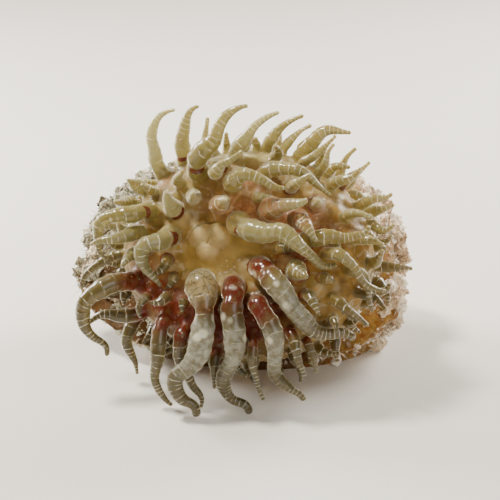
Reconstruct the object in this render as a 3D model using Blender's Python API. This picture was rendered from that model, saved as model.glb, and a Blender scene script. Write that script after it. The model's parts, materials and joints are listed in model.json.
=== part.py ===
"""A small reef anemone as a still, life-size model, resting on its flat foot.

The body is a low, lumpy column on a wide foot. A domed collar leans forward from it and carries the
mouth disc and some fifty tapering tentacles. All lengths below are in millimetres, and MM turns them
into metres. Headings are in degrees: 0 points to +X, 90 points up, 180 to -X and 270 down. Forward is
the share of a heading that points to -Y, the side that the mouth faces.
"""

import math

import bmesh
import bpy
import numpy as np
from mathutils import Vector
from mathutils.kdtree import KDTree

MM = 0.001
CLEARANCE = 0.3

# Collar: where it sits, how it leans back from level, how it turns to -X, and its half sizes
COLLAR_CENTRE = np.array([-0.6, -7.0, 14.6])
COLLAR_LEAN = math.radians(38.0)
COLLAR_TURN = math.radians(12.0)
COLLAR_HALF_WIDTH = 12.6
COLLAR_HALF_HEIGHT = 10.6
DISC_SHIFT = np.array([-3.0, -1.4])
# Half outline of the collar, from the disc's middle over the rim to the neck: share of the half
# width, and height along the axis
COLLAR_OUTLINE = ((0.0, 0.1), (0.33, 0.4), (0.48, 1.0), (0.64, 1.5), (0.82, 1.1), (0.94, 0.0),
                  (1.0, -1.8), (0.99, -3.8), (0.94, -5.6), (0.84, -7.0))
RIM_SHARE = 0.66
COLLAR_SIDES = 32
COLLAR_ROWS = 12

# Disc and lips
DISC_EDGE = 0.105
RECESS_DEPTH = 1.3
DISC_SIDES = 32
DISC_DROP = 0.12
LIPS_PLACE = np.array([-1.4, 1.4])
LIPS_RADIUS = 1.1
LIPS_THICKNESS = 0.6
LIPS_LOBES = 0.12
LIPS_FLATNESS = 0.9
LIPS_SQUASH = 0.85
LIPS_SIDES = 20
LIPS_ROLL_SIDES = 8

# Column and foot: loops from the floor up to the collar's neck, leaning forward more and more.
# Each is its middle in x, y and z, its half length and its half depth
NECK_SINK = COLLAR_OUTLINE[-1][1] - CLEARANCE
COLUMN_LOOPS = ((1.0, 3.5, 0.0, 13.2, 8.2), (0.4, 4.2, 2.8, 15.8, 9.7), (-0.5, 4.7, 6.2, 17.6, 10.7),
                (-0.9, 4.4, 9.6, 17.9, 10.8), (-0.5, 2.4, 11.6, 16.0, 10.0))
COLUMN_SIDES = 36
COLUMN_ROWS = 10
FOOT_SHARE = 0.16
FOOT_GAP = 0.03
COLUMN_LUMPS = ((3, 0.040, 1.2, 2.5), (5, 0.028, 0.4, -3.2), (8, 0.014, 2.1, 5.0))
SQUARENESS = 1.0

# Tentacle outline, as shares of the half thickness and of the length: how much the bulb swells, the
# waist draws in and the taper thins, and where each is centred or starts
BULB_SWELL, BULB_PLACE, BULB_SPREAD = 0.20, 0.07, 0.05
WAIST_DEPTH, WAIST_PLACE, WAIST_SPREAD = 0.16, 0.17, 0.035
TAPER_DEPTH, TAPER_START, TAPER_RUN, TAPER_POWER = 0.62, 0.30, 0.66, 1.15
ROOT_NARROWING = 0.75
TIP_NARROWING = 0.8

# Tentacles. Rings are places along the collar's outline, and a path settles in rounds of small steps.
# One over LONG is made in two lengths, and one up to SHORT is grown onto the collar
RINGS = {"A": 0.12, "B": 0.22, "C": 0.30, "D": 0.39, "E": 0.49, "F": 0.60, "G": 0.72}
PATH_STEPS = 26
TENTACLE_SIDES = 8
RING_SPACING = 1.15
THINNEST = 0.27
SETTLE_ROUNDS = 90
SETTLE_STEP = 0.12
SETTLE_SMOOTHING = 2
FLATTENED = 0.8
LONG = 11.0
SHORT = 4.3
FOOTING = 0.3
# Name, ring, clock around the collar, length, thickness, and the headings it takes: (angle, forward)
TENTACLES = (
    ("upper_1", "F", 138, 8.8, 1.6, ((104, 0.2), (97, 0.0), (52, 0.0), (8, 0.0))),
    ("upper_2", "F", 125, 7.0, 1.8, ((94, 0.2), (80, 0.0), (68, 0.0), (35, 0.0))),
    ("upper_3", "E", 116, 5.6, 1.0, ((76, 0.4), (80, 0.0), (84, 0.0))),
    ("upper_4", "D", 115, 10.6, 2.1, ((66, 0.6), (62, 0.2), (78, 0.0), (48, 0.0), (8, 0.0))),
    ("upper_5", "D", 104, 7.6, 1.6, ((200, 0.9), (60, 0.6), (38, 0.1), (28, -0.2))),
    ("upper_6", "E", 98, 7.4, 1.5, ((58, 0.5), (54, 0.1), (36, 0.0), (15, 0.0))),
    ("upper_7", "F", 86, 6.0, 1.3, ((62, 0.3), (50, 0.0), (32, 0.0), (10, 0.0))),
    ("upper_8", "F", 77, 4.6, 1.0, ((60, 0.1), (42, -0.1), (22, -0.1))),
    ("upper_9", "F", 70, 7.2, 1.8, ((60, 0.4), (40, 0.0), (357, 0.0), (355, 0.0))),
    ("upper_10", "E", 63, 6.0, 1.1, ((50, 0.5), (40, 0.1), (42, 0.0))),
    ("upper_11", "E", 52, 5.2, 1.0, ((60, 0.5), (80, 0.1), (55, 0.0))),
    ("upper_12", "G", 52, 4.4, 1.0, ((75, 0.1), (60, 0.0), (35, 0.0))),
    ("upper_13", "F", 44, 4.4, 1.0, ((55, 0.4), (30, 0.0), (50, 0.0))),
    ("inner_1", "C", 148, 6.2, 1.9, ((95, 0.8), (95, 0.7), (90, 0.8))),
    ("inner_2", "D", 130, 4.4, 1.3, ((80, 0.8), (80, 0.9))),
    ("inner_3", "C", 127, 4.8, 1.6, ((60, 0.9), (100, 0.9))),
    ("inner_4", "C", 94, 9.6, 1.9, ((90, 0.9), (55, 0.5), (0, 0.4), (320, 0.3), (10, 0.1))),
    ("inner_5", "B", 96, 4.4, 2.0, ((80, 0.9), (40, 0.9))),
    ("inner_6", "B", 48, 7.0, 2.4, ((20, 0.7), (40, 0.5), (60, 0.3))),
    ("inner_7", "D", 76, 9.0, 1.6, ((20, 0.7), (350, 0.3), (318, 0.2), (345, 0.0))),
    ("inner_8", "D", 37, 4.0, 2.0, ((60, 0.9), (80, 0.9))),
    ("inner_9", "C", 22, 5.0, 2.0, ((20, 0.9), (330, 0.7))),
    ("inner_10", "E", 44, 5.4, 1.4, ((50, 0.7), (20, 0.2), (60, 0.0))),
    ("inner_11", "D", 57, 4.6, 1.5, ((60, 0.8), (20, 0.3))),
    ("left_1", "D", 158, 10.4, 1.8, ((180, 0.7), (180, 0.2), (195, 0.1), (262, 0.0), (275, 0.0), (325, 0.2))),
    ("left_2", "D", 177, 6.4, 1.6, ((185, 0.7), (178, 0.2), (215, 0.0))),
    ("left_3", "B", 165, 9.2, 2.0, ((185, 0.8), (190, 0.4), (278, 0.3), (312, 0.1), (312, 0.0))),
    ("left_4", "F", 188, 6.0, 1.1, ((205, 0.2), (228, 0.0), (255, 0.0))),
    ("left_5", "D", 190, 3.6, 1.6, ((195, 0.8), (235, 0.8))),
    ("left_6", "E", 207, 12.8, 2.0, ((165, 0.6), (208, 0.3), (243, 0.1), (288, 0.0), (322, 0.0), (262, 0.0))),
    ("left_7", "F", 222, 6.8, 1.5, ((180, 0.4), (165, 0.1), (205, 0.0), (245, 0.0))),
    ("left_8", "F", 150, 4.2, 1.5, ((130, 0.8), (110, 0.8))),
    ("left_9", "E", 160, 4.4, 1.5, ((150, 0.8), (140, 0.7))),
    ("lower_1", "G", 218, 7.6, 1.4, ((240, 0.4), (272, 0.0), (292, 0.0), (278, 0.0))),
    ("lower_2", "E", 236, 10.4, 1.6, ((262, 0.6), (264, 0.0), (262, 0.0), (300, 0.0), (316, 0.0))),
    ("lower_3", "A", 250, 18.2, 2.6, ((280, 0.85), (275, 0.6), (262, 0.25), (240, 0.15), (222, 0.15),
                                      (285, 0.1), (315, 0.15), (262, 0.25))),
    ("lower_4", "E", 248, 9.2, 1.5, ((270, 0.4), (282, 0.0), (290, 0.0), (310, 0.0), (245, 0.0))),
    ("lower_5", "A", 294, 16.0, 2.3, ((288, 0.8), (276, 0.5), (270, 0.15), (256, 0.15), (238, 0.1),
                                      (280, 0.1), (345, 0.15), (272, 0.25))),
    ("lower_6", "E", 284, 6.8, 1.0, ((265, 0.4), (285, 0.0), (285, 0.0), (292, 0.0))),
    ("lower_7", "C", 300, 13.0, 2.0, ((318, 0.7), (308, 0.4), (288, 0.1), (252, 0.0), (266, 0.0),
                                      (318, 0.0), (325, 0.0), (290, 0.0))),
    ("lower_8", "A", 340, 14.0, 2.4, ((322, 0.85), (322, 0.6), (306, 0.2), (300, 0.1), (350, 0.0),
                                      (8, 0.0), (305, 0.0))),
    ("right_1", "A", 76, 13.6, 2.3, ((5, 0.8), (5, 0.5), (8, 0.2), (335, 0.1), (295, 0.0),
                                     (305, 0.0), (355, 0.0))),
    ("right_2", "C", 14, 8.4, 1.7, ((10, 0.6), (355, 0.2), (5, 0.0), (20, 0.0), (85, 0.0))),
    ("right_3", "D", 357, 8.6, 1.3, ((40, 0.7), (330, 0.3), (295, 0.2), (330, 0.0), (340, 0.0))),
    ("right_4", "E", 350, 5.8, 1.1, ((0, 0.5), (300, 0.1), (275, 0.0), (285, 0.0))),
    ("right_5", "E", 332, 5.2, 1.2, ((340, 0.7), (325, 0.2), (315, 0.0))),
    ("right_6", "F", 318, 3.0, 1.2, ((60, 0.9), (80, 0.9))),
    ("right_7", "F", 306, 3.8, 1.0, ((290, 0.4), (280, 0.0))),
    ("right_8", "F", 30, 4.4, 1.2, ((40, 0.5), (0, 0.0), (60, 0.0))),
    ("right_9", "E", 10, 4.2, 1.3, ((10, 0.6), (330, 0.3))),
    ("right_10", "E", 303, 5.4, 1.2, ((280, 0.6), (300, 0.1), (290, 0.0))),
    ("right_11", "C", 342, 3.8, 2.2, ((30, 0.9), (0, 0.9))),
    ("right_12", "E", 24, 3.8, 1.2, ((30, 0.7), (345, 0.2))),
    ("right_13", "F", 341, 3.8, 1.1, ((345, 0.5), (310, 0.2))),
    ("right_14", "D", 326, 3.6, 1.3, ((330, 0.8), (300, 0.5))),
    ("right_15", "G", 0, 4.0, 1.2, ((10, 0.3), (340, 0.1))),
    ("upper_14", "G", 84, 4.0, 1.0, ((80, 0.1), (62, 0.0))),
    ("left_10", "G", 170, 4.2, 1.3, ((170, 0.2), (200, 0.0))),
    ("lower_9", "F", 264, 4.2, 1.2, ((275, 0.3), (265, 0.0))),
)

# Finishes: colour and roughness
FOOT_FINISH = ((0.30, 0.22, 0.13), 0.55)
COLUMN_FINISH = ((0.42, 0.27, 0.13), 0.60)
COLLAR_FINISH = ((0.50, 0.38, 0.16), 0.35)
DISC_FINISH = ((0.62, 0.50, 0.24), 0.30)
LIPS_FINISH = ((0.70, 0.60, 0.40), 0.28)
TENTACLE_FINISH = ((0.58, 0.53, 0.28), 0.25)


def unit(vector):
    """The vector at length one."""
    return vector / np.linalg.norm(vector)


COLLAR_AXIS = np.array([-math.sin(COLLAR_TURN) * math.cos(COLLAR_LEAN),
                        -math.cos(COLLAR_TURN) * math.cos(COLLAR_LEAN),
                        math.sin(COLLAR_LEAN)])
COLLAR_SIDEWAYS = unit(np.cross((0.0, 0.0, 1.0), COLLAR_AXIS))
COLLAR_RISE = np.cross(COLLAR_AXIS, COLLAR_SIDEWAYS)


def smooth_rows(rows, places):
    """Read a smooth curve through rows at places from 0 to 1."""
    rows = np.asarray(rows, float)
    count = len(rows) - 1
    spot = np.clip(places, 0.0, 1.0) * count
    index = np.minimum(spot.astype(int), count - 1)
    part = (spot - index)[..., None]
    padded = np.vstack([2 * rows[0] - rows[1], rows, 2 * rows[-1] - rows[-2]])
    before, here, ahead, beyond = (padded[index + step] for step in range(4))
    return 0.5 * (2 * here + (ahead - before) * part
                  + (2 * before - 5 * here + 4 * ahead - beyond) * part ** 2
                  + (3 * here - before - 3 * ahead + beyond) * part ** 3)


def collar_point(along, clock):
    """A point of the collar: along runs from the disc's middle (0) to the neck (1)."""
    along, clock = np.broadcast_arrays(np.asarray(along, float), np.asarray(clock, float))
    outline = smooth_rows(COLLAR_OUTLINE, along)
    share, height = outline[..., 0], outline[..., 1]
    inward = np.clip(1.0 - share, 0.0, 1.0) * (along < RIM_SHARE)
    sideways = COLLAR_HALF_WIDTH * share * np.cos(clock) + DISC_SHIFT[0] * inward
    rise = COLLAR_HALF_HEIGHT * share * np.sin(clock) + DISC_SHIFT[1] * inward
    return (COLLAR_CENTRE + sideways[..., None] * COLLAR_SIDEWAYS + rise[..., None] * COLLAR_RISE
            + height[..., None] * COLLAR_AXIS)


def column_point(share, clock):
    """A point of the column's side: share runs from the floor (0) to the collar's neck (1)."""
    share, clock = np.broadcast_arrays(np.asarray(share, float), np.asarray(clock, float))
    neck = (*(COLLAR_CENTRE + NECK_SINK * COLLAR_AXIS), COLLAR_OUTLINE[-1][0] * COLLAR_HALF_WIDTH,
            COLLAR_OUTLINE[-1][0] * COLLAR_HALF_HEIGHT)
    loop = smooth_rows(COLUMN_LOOPS + (neck,), share)
    lean = (0.5 * math.pi - COLLAR_LEAN) * share
    turn = COLLAR_TURN * share
    axis = np.stack([-np.sin(turn) * np.sin(lean), -np.cos(turn) * np.sin(lean), np.cos(lean)], axis=-1)
    sideways = np.stack([np.cos(turn), -np.sin(turn), 0.0 * turn], axis=-1)
    belly = np.sin(math.pi * share)
    swell = 1.0 + belly * sum(size * np.sin(count * clock + phase + twist * share)
                              for count, size, phase, twist in COLUMN_LUMPS)
    power = 2.0 / (2.0 + SQUARENESS * belly)
    across = loop[..., 3] * swell * np.sign(np.cos(clock)) * np.abs(np.cos(clock)) ** power
    back = loop[..., 4] * swell * np.sign(np.sin(clock)) * np.abs(np.sin(clock)) ** power
    return loop[..., :3] + across[..., None] * sideways + back[..., None] * np.cross(axis, sideways)


def surface_normal(surface, along, clock, step=0.001):
    """The outward direction of a surface that runs along its body and round its clock."""
    down = surface(along + step, clock) - surface(along - step, clock)
    across = surface(along, clock + step) - surface(along, clock - step)
    normal = np.cross(down, across)
    return normal / np.linalg.norm(normal, axis=-1, keepdims=True)


def heading(angle, forward):
    """A direction from its angle in the upright plane and its forward share."""
    turned = math.radians(angle)
    flat = math.sqrt(1.0 - forward * forward)
    return np.array([math.cos(turned) * flat, -forward, math.sin(turned) * flat])


def tentacle_radius(share, thickness):
    """The radius along a tentacle: a bulb, a narrow waist above it, and a long taper."""
    bulb = BULB_SWELL * np.exp(-((share - BULB_PLACE) / BULB_SPREAD) ** 2)
    waist = WAIST_DEPTH * np.exp(-((share - WAIST_PLACE) / WAIST_SPREAD) ** 2)
    taper = TAPER_DEPTH * np.clip((share - TAPER_START) / TAPER_RUN, 0.0, 1.0) ** TAPER_POWER
    return np.maximum(0.5 * thickness * (1.0 + bulb - waist - taper), THINNEST)


def tentacle_path(ring, clock, length, headings):
    """Grow a path from the collar, turning smoothly through the headings."""
    root = collar_point(RINGS[ring], math.radians(clock))
    outward = surface_normal(collar_point, RINGS[ring], math.radians(clock))
    turns = np.array([outward] + [heading(*each) for each in headings])
    count = len(turns) - 1
    spot = (np.arange(PATH_STEPS) + 0.5) / PATH_STEPS * count
    index = np.minimum(spot.astype(int), count - 1)
    part = (spot - index)[:, None]
    ways = turns[index] * (1.0 - part) + turns[index + 1] * part
    ways /= np.linalg.norm(ways, axis=1, keepdims=True)
    return np.vstack([root, root + np.cumsum(ways, axis=0) * length / PATH_STEPS])


def body_surface():
    """Points and outward directions spread over the collar and the column."""
    turns = np.linspace(0.0, math.tau, 90, endpoint=False)
    along, clock = np.meshgrid(np.linspace(0.02, 0.99, 40), turns)
    share, turn = np.meshgrid(np.linspace(0.02, 0.98, 24), turns)
    points = (collar_point(along, clock), column_point(share, turn))
    outward = (surface_normal(collar_point, along, clock), -surface_normal(column_point, share, turn))
    return (np.vstack([rows.reshape(-1, 3) for rows in points]),
            np.vstack([rows.reshape(-1, 3) for rows in outward]))


def settle(grown, radii):
    """Ease the paths clear of one another, of the body and of the floor, keeping their roots."""
    surface, outward = body_surface()
    tree = KDTree(len(surface))
    for number, point in enumerate(surface):
        tree.insert(point, number)
    tree.balance()
    count, length = radii.shape
    same = np.kron(np.eye(count, dtype=bool), np.ones((length, length), dtype=bool))
    thick = radii.reshape(-1)
    reach = thick[:, None] + thick[None, :] + CLEARANCE
    travelled = np.linalg.norm(grown - grown[:, :1], axis=-1).reshape(-1)
    height = np.minimum(thick + CLEARANCE, travelled)
    everyone = np.arange(len(thick))
    shift = np.zeros_like(grown)
    for _ in range(SETTLE_ROUNDS):
        flat = (grown + shift).reshape(-1, 3)
        squares = (flat ** 2).sum(axis=1)
        distance = np.sqrt(np.clip(squares[:, None] + squares[None, :] - 2.0 * flat @ flat.T, 1e-6, None))
        lack = np.where(same, 0.0, reach - distance)
        worst = lack.argmax(axis=1)
        short = np.clip(lack[everyone, worst], 0.0, SETTLE_STEP)
        push = (flat - flat[worst]) * (short / distance[everyone, worst])[:, None]
        for number, point in enumerate(flat):
            _, nearest, _ = tree.find(point)
            rise = (point - surface[nearest]) @ outward[nearest]
            push[number] += np.clip(height[number] - rise, 0.0, SETTLE_STEP) * outward[nearest]
        push[:, 2] += np.clip(FLATTENED * thick - flat[:, 2], 0.0, SETTLE_STEP)
        shift += push.reshape(shift.shape)
        shift[:, 0] = 0.0
        for _ in range(SETTLE_SMOOTHING):
            padded = np.pad(shift, ((0, 0), (1, 1), (0, 0)), mode="reflect", reflect_type="odd")
            shift = 0.25 * padded[:, :-2] + 0.5 * padded[:, 1:-1] + 0.25 * padded[:, 2:]
    settled = grown + shift
    settled[..., 2] = np.maximum(settled[..., 2], FLATTENED * radii)
    return settled


def tentacle_shapes():
    """Every tentacle's settled path and radii, by name."""
    share = np.linspace(0.0, 1.0, PATH_STEPS + 1)
    paths = np.array([tentacle_path(ring, clock, length, headings)
                      for _, ring, clock, length, _, headings in TENTACLES])
    radii = np.array([tentacle_radius(share, thickness) for _, _, _, _, thickness, _ in TENTACLES])
    settled = settle(paths, radii)
    return {row[0]: (path, radius) for row, path, radius in zip(TENTACLES, settled, radii)}


def clear_scene():
    """Remove whatever the scene holds."""
    for item in list(bpy.data.objects):
        bpy.data.objects.remove(item, do_unlink=True)


def finish(name, colour, roughness):
    """A plain Principled material."""
    material = bpy.data.materials.new(name)
    material.use_nodes = True
    shader = material.node_tree.nodes["Principled BSDF"]
    shader.inputs["Base Color"].default_value = (*colour, 1.0)
    shader.inputs["Roughness"].default_value = roughness
    shader.inputs["Metallic"].default_value = 0.0
    material.diffuse_color = (*colour, 1.0)
    return material


def closed_loft(loops):
    """A closed body through loops of points, with its ends filled."""
    body = bmesh.new()
    rows = [[body.verts.new(point) for point in loop] for loop in loops]
    for lower, upper in zip(rows, rows[1:]):
        for side in range(len(lower)):
            following = (side + 1) % len(lower)
            body.faces.new((lower[side], lower[following], upper[following], upper[side]))
    body.faces.new(rows[0])
    body.faces.new(rows[-1])
    bmesh.ops.recalc_face_normals(body, faces=body.faces)
    return body


def add_object(name, body, material, origin, parent):
    """Turn a body in millimetres into an object placed at its origin."""
    for vertex in body.verts:
        vertex.co = (vertex.co - Vector(origin)) * MM
    mesh = bpy.data.meshes.new(name)
    body.to_mesh(mesh)
    body.free()
    mesh.shade_smooth()
    mesh.set_sharp_from_angle(angle=math.radians(50.0))
    mesh.materials.append(material)
    item = bpy.data.objects.new(name, mesh)
    item.location = Vector(origin) * MM
    item.parent = parent
    bpy.context.collection.objects.link(item)
    return item


def around(sides):
    """Evenly spaced turns for one loop."""
    return np.linspace(0.0, math.tau, sides, endpoint=False)


def build_foot(parent):
    """The broad pedal disc, flat underneath."""
    loops = [column_point(share, around(COLUMN_SIDES)) for share in np.linspace(0.0, FOOT_SHARE, 3)]
    body = closed_loft(loops)
    return add_object("foot", body, finish("foot_flesh", *FOOT_FINISH), (0.0, 0.0, 0.0), parent)


def build_column(parent):
    """The lumpy column, from the foot up to the collar's neck."""
    loops = [column_point(share, around(COLUMN_SIDES))
             for share in np.linspace(FOOT_SHARE + FOOT_GAP, 1.0, COLUMN_ROWS)]
    body = closed_loft(loops)
    return add_object("column", body, finish("column_flesh", *COLUMN_FINISH), loops[0].mean(axis=0), parent)


def build_collar(shapes, parent):
    """The domed collar with a shallow recess for the disc, and its shortest tentacles grown on."""
    turns = around(COLLAR_SIDES)
    rim = collar_point(DISC_EDGE, turns)
    floor = rim - RECESS_DEPTH * COLLAR_AXIS
    rows = [floor] + [collar_point(along, turns) for along in np.linspace(DISC_EDGE, 1.0, COLLAR_ROWS)]
    material = finish("collar_flesh", *COLLAR_FINISH)
    collar = add_object("collar", closed_loft(rows), material, COLLAR_CENTRE, parent)
    for name, _, _, length, _, _ in TENTACLES:
        if length > SHORT:
            continue
        path, radii = shapes[name]
        rooted = np.vstack([2.0 * path[0] - path[1], path])
        body = closed_loft(tube_loops(rooted, np.append(radii[0], radii), 0.0, 1.0))
        bud = add_object("bud_" + name, body, material, path[0], parent)
        bud.hide_render = True
        bud.display_type = "WIRE"
        grown = collar.modifiers.new(name, "BOOLEAN")
        grown.operation = "UNION"
        grown.object = bud
    return collar


def disc_loop(share, drop, turns):
    """A loop of the disc, drawn in towards its middle and lowered."""
    middle = collar_point(DISC_EDGE, around(COLLAR_SIDES)).mean(axis=0)
    loop = middle + (collar_point(DISC_EDGE, turns) - middle) * share
    return loop - drop * COLLAR_AXIS


def build_disc(parent):
    """The smooth disc round the mouth, set in the collar's recess."""
    turns = around(DISC_SIDES)
    reach = np.linalg.norm(disc_loop(1.0, 0.0, turns) - disc_loop(0.0, 0.0, turns), axis=1).min()
    inset = 1.0 - 1.2 * CLEARANCE / reach
    bottom = RECESS_DEPTH - CLEARANCE
    outline = ((0.35, bottom), (1.0, bottom), (1.0, 0.3), (0.8, DISC_DROP), (0.45, 2.0 * DISC_DROP))
    loops = [disc_loop(share * inset, drop, turns) for share, drop in outline]
    body = closed_loft(loops)
    return add_object("oral_disc", body, finish("disc_flesh", *DISC_FINISH), loops[0].mean(axis=0), parent)


def build_lips(parent):
    """The swollen lips, a lobed ring round the mouth."""
    lift = CLEARANCE + LIPS_FLATNESS * LIPS_THICKNESS * (1.0 + LIPS_LOBES)
    centre = (disc_loop(0.0, DISC_DROP, 0.0) + LIPS_PLACE[0] * COLLAR_SIDEWAYS + LIPS_PLACE[1] * COLLAR_RISE
              + lift * COLLAR_AXIS)
    body = bmesh.new()
    rows = []
    for turn in around(LIPS_SIDES):
        spoke = math.cos(turn) * COLLAR_SIDEWAYS + LIPS_SQUASH * math.sin(turn) * COLLAR_RISE
        lobe = 1.0 + LIPS_LOBES * math.sin(3.0 * turn + 0.6)
        middle = centre + LIPS_RADIUS * spoke
        outward = LIPS_THICKNESS * lobe * unit(spoke)
        upward = LIPS_THICKNESS * lobe * LIPS_FLATNESS * COLLAR_AXIS
        rows.append([body.verts.new(middle + math.cos(roll) * outward + math.sin(roll) * upward)
                     for roll in around(LIPS_ROLL_SIDES)])
    for here, ahead in zip(rows, rows[1:] + rows[:1]):
        for side in range(LIPS_ROLL_SIDES):
            following = (side + 1) % LIPS_ROLL_SIDES
            body.faces.new((here[side], here[following], ahead[following], ahead[side]))
    bmesh.ops.recalc_face_normals(body, faces=body.faces)
    return add_object("lips", body, finish("lips_flesh", *LIPS_FINISH), centre, parent)


def tube_loops(path, radii, start, end):
    """Loops round a path between two shares of its length, no lower than the floor."""
    shares = np.linspace(0.0, 1.0, len(path))
    run = np.linalg.norm(np.diff(path, axis=0), axis=1).sum() * (end - start)
    rings = max(4, round(run / RING_SPACING) + 1)
    places = np.linspace(start, end, rings)
    centres, ways = (np.stack([np.interp(places, shares, rows[:, axis]) for axis in range(3)], axis=-1)
                     for rows in (path, np.gradient(path, axis=0)))
    sizes = np.interp(places, shares, radii)
    if start < FOOTING:
        sizes[0] *= ROOT_NARROWING
    if end == 1.0:
        sizes[-1] *= TIP_NARROWING
    side = unit(np.cross(ways[0], (0.31, 0.11, 0.94)))
    loops = []
    for centre, size, way in zip(centres, sizes, ways):
        way = unit(way)
        side = unit(side - (side @ way) * way)
        other = np.cross(way, side)
        loop = np.array([centre + size * (math.cos(turn) * side + math.sin(turn) * other)
                         for turn in around(TENTACLE_SIDES)])
        loop[:, 2] = np.maximum(loop[:, 2], 0.0)
        loops.append(loop)
    return loops


def build_tentacle(name, path, radii, length, parent):
    """One tentacle, as one length or, where it is long, as two that nearly touch."""
    start = (CLEARANCE + 0.3 * radii[0]) / length
    stretches = [(name, start, 1.0)]
    if length > LONG:
        gap = 0.5 * CLEARANCE / length
        stretches = [(name + "_base", start, 0.5 - gap), (name + "_tip", 0.5 + gap, 1.0)]
    for label, begin, end in stretches:
        loops = tube_loops(path, radii, begin, end)
        body = closed_loft(loops)
        add_object("tentacle_" + label, body, finish(label + "_flesh", *TENTACLE_FINISH),
                   loops[0].mean(axis=0), parent)


def main():
    """Build the whole anemone."""
    clear_scene()
    stand = bpy.data.objects.new("anemone", None)
    bpy.context.collection.objects.link(stand)
    build_foot(stand)
    build_column(stand)
    shapes = tentacle_shapes()
    build_collar(shapes, stand)
    build_disc(stand)
    build_lips(stand)
    for name, _, _, length, _, _ in TENTACLES:
        if length > SHORT:
            build_tentacle(name, *shapes[name], length, stand)


main()
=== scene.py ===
"""The looks of a small reef anemone: one ringed, translucent skin over the body, and grit on its column.

The shapes repeat the sizes of the solids that the skin stands for, in millimetres, and MM turns them into
metres. Headings are in degrees: 0 points to +X, 90 up, 180 to -X and 270 down. Forward is the share of a
heading that points to -Y, the side that the mouth faces.
"""

from __future__ import annotations

import json
import logging
import math
from dataclasses import dataclass, field
from enum import Enum
from functools import cached_property
from typing import Callable, Sequence

import bmesh
import bpy
import numpy as np
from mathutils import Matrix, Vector, noise
from mathutils.kdtree import KDTree

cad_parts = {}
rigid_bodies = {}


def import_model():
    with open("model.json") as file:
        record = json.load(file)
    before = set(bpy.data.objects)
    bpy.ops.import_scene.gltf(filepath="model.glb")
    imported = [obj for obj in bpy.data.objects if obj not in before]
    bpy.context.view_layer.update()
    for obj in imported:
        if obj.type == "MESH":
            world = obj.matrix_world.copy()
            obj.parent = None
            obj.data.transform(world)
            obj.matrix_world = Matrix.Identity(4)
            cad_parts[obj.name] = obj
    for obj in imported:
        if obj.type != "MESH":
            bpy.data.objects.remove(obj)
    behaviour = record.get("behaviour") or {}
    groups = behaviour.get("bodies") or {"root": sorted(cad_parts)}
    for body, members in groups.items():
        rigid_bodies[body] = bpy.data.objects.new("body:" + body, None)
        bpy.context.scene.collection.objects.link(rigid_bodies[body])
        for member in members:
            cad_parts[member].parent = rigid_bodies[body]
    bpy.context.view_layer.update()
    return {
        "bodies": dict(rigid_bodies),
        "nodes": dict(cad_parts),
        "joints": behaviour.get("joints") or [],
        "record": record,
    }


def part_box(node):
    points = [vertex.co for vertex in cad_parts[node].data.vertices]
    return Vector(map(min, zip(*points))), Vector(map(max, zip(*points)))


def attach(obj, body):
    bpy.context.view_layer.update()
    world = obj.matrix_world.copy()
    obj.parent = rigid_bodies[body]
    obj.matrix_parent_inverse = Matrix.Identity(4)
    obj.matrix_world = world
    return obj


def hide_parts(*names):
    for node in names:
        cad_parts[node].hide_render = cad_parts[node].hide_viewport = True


LOG = logging.getLogger("anemone")
MM = 0.001
CLEARANCE = 0.3
Surface = Callable[[np.ndarray, np.ndarray], np.ndarray]


def unit(vector: np.ndarray) -> np.ndarray:
    """Return the vector at length one."""
    return vector / np.linalg.norm(vector, axis=-1, keepdims=True)


def ease(value: np.ndarray | float, low: float, high: float) -> np.ndarray:
    """Rise smoothly from 0 at low to 1 at high, or fall where high is less than low."""
    part = np.clip((np.asarray(value, float) - low) / (high - low), 0.0, 1.0)
    return part * part * (3.0 - 2.0 * part)


def smooth_rows(rows: Sequence, places: np.ndarray | float) -> np.ndarray:
    """Read a smooth curve through rows of numbers.

    Args:
        rows: The rows that the curve passes through, evenly spaced.
        places: Where to read it, from 0 to 1.

    Returns:
        One row of numbers for each place.
    """
    rows = np.asarray(rows, float)
    count = len(rows) - 1
    spot = np.clip(places, 0.0, 1.0) * count
    index = np.minimum(spot.astype(int), count - 1)
    part = (spot - index)[..., None]
    padded = np.vstack([2 * rows[0] - rows[1], rows, 2 * rows[-1] - rows[-2]])
    before, here, ahead, beyond = (padded[index + step] for step in range(4))
    return 0.5 * (2 * here + (ahead - before) * part
                  + (2 * before - 5 * here + 4 * ahead - beyond) * part ** 2
                  + (3 * here - before - 3 * ahead + beyond) * part ** 3)


def soft_noise(point: np.ndarray, scale: float, offset: Sequence[float] = (0.0, 0.0, 0.0)) -> float:
    """Read soft noise, from -1 to 1, with a shift for noise that is unlike the rest."""
    return noise.noise(Vector(point * scale) + Vector(offset))


def surface_normal(surface: Surface, along: np.ndarray, clock: np.ndarray, step: float = 0.001) -> np.ndarray:
    """Find the direction that a surface faces.

    Args:
        surface: The surface, by its place along the body and round it.
        along: Places along the body.
        clock: Turns round the body, in radians.
        step: How far apart the two readings on each side are.

    Returns:
        Directions of length one.
    """
    down = surface(along + step, clock) - surface(along - step, clock)
    across = surface(along, clock + step) - surface(along, clock - step)
    return unit(np.cross(down, across))


def put_in_scene(name: str, data: bpy.types.ID) -> bpy.types.Object:
    """Make an object of some data and link it to the scene."""
    made = bpy.data.objects.new(name, data)
    bpy.context.scene.collection.objects.link(made)
    return made


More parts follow.
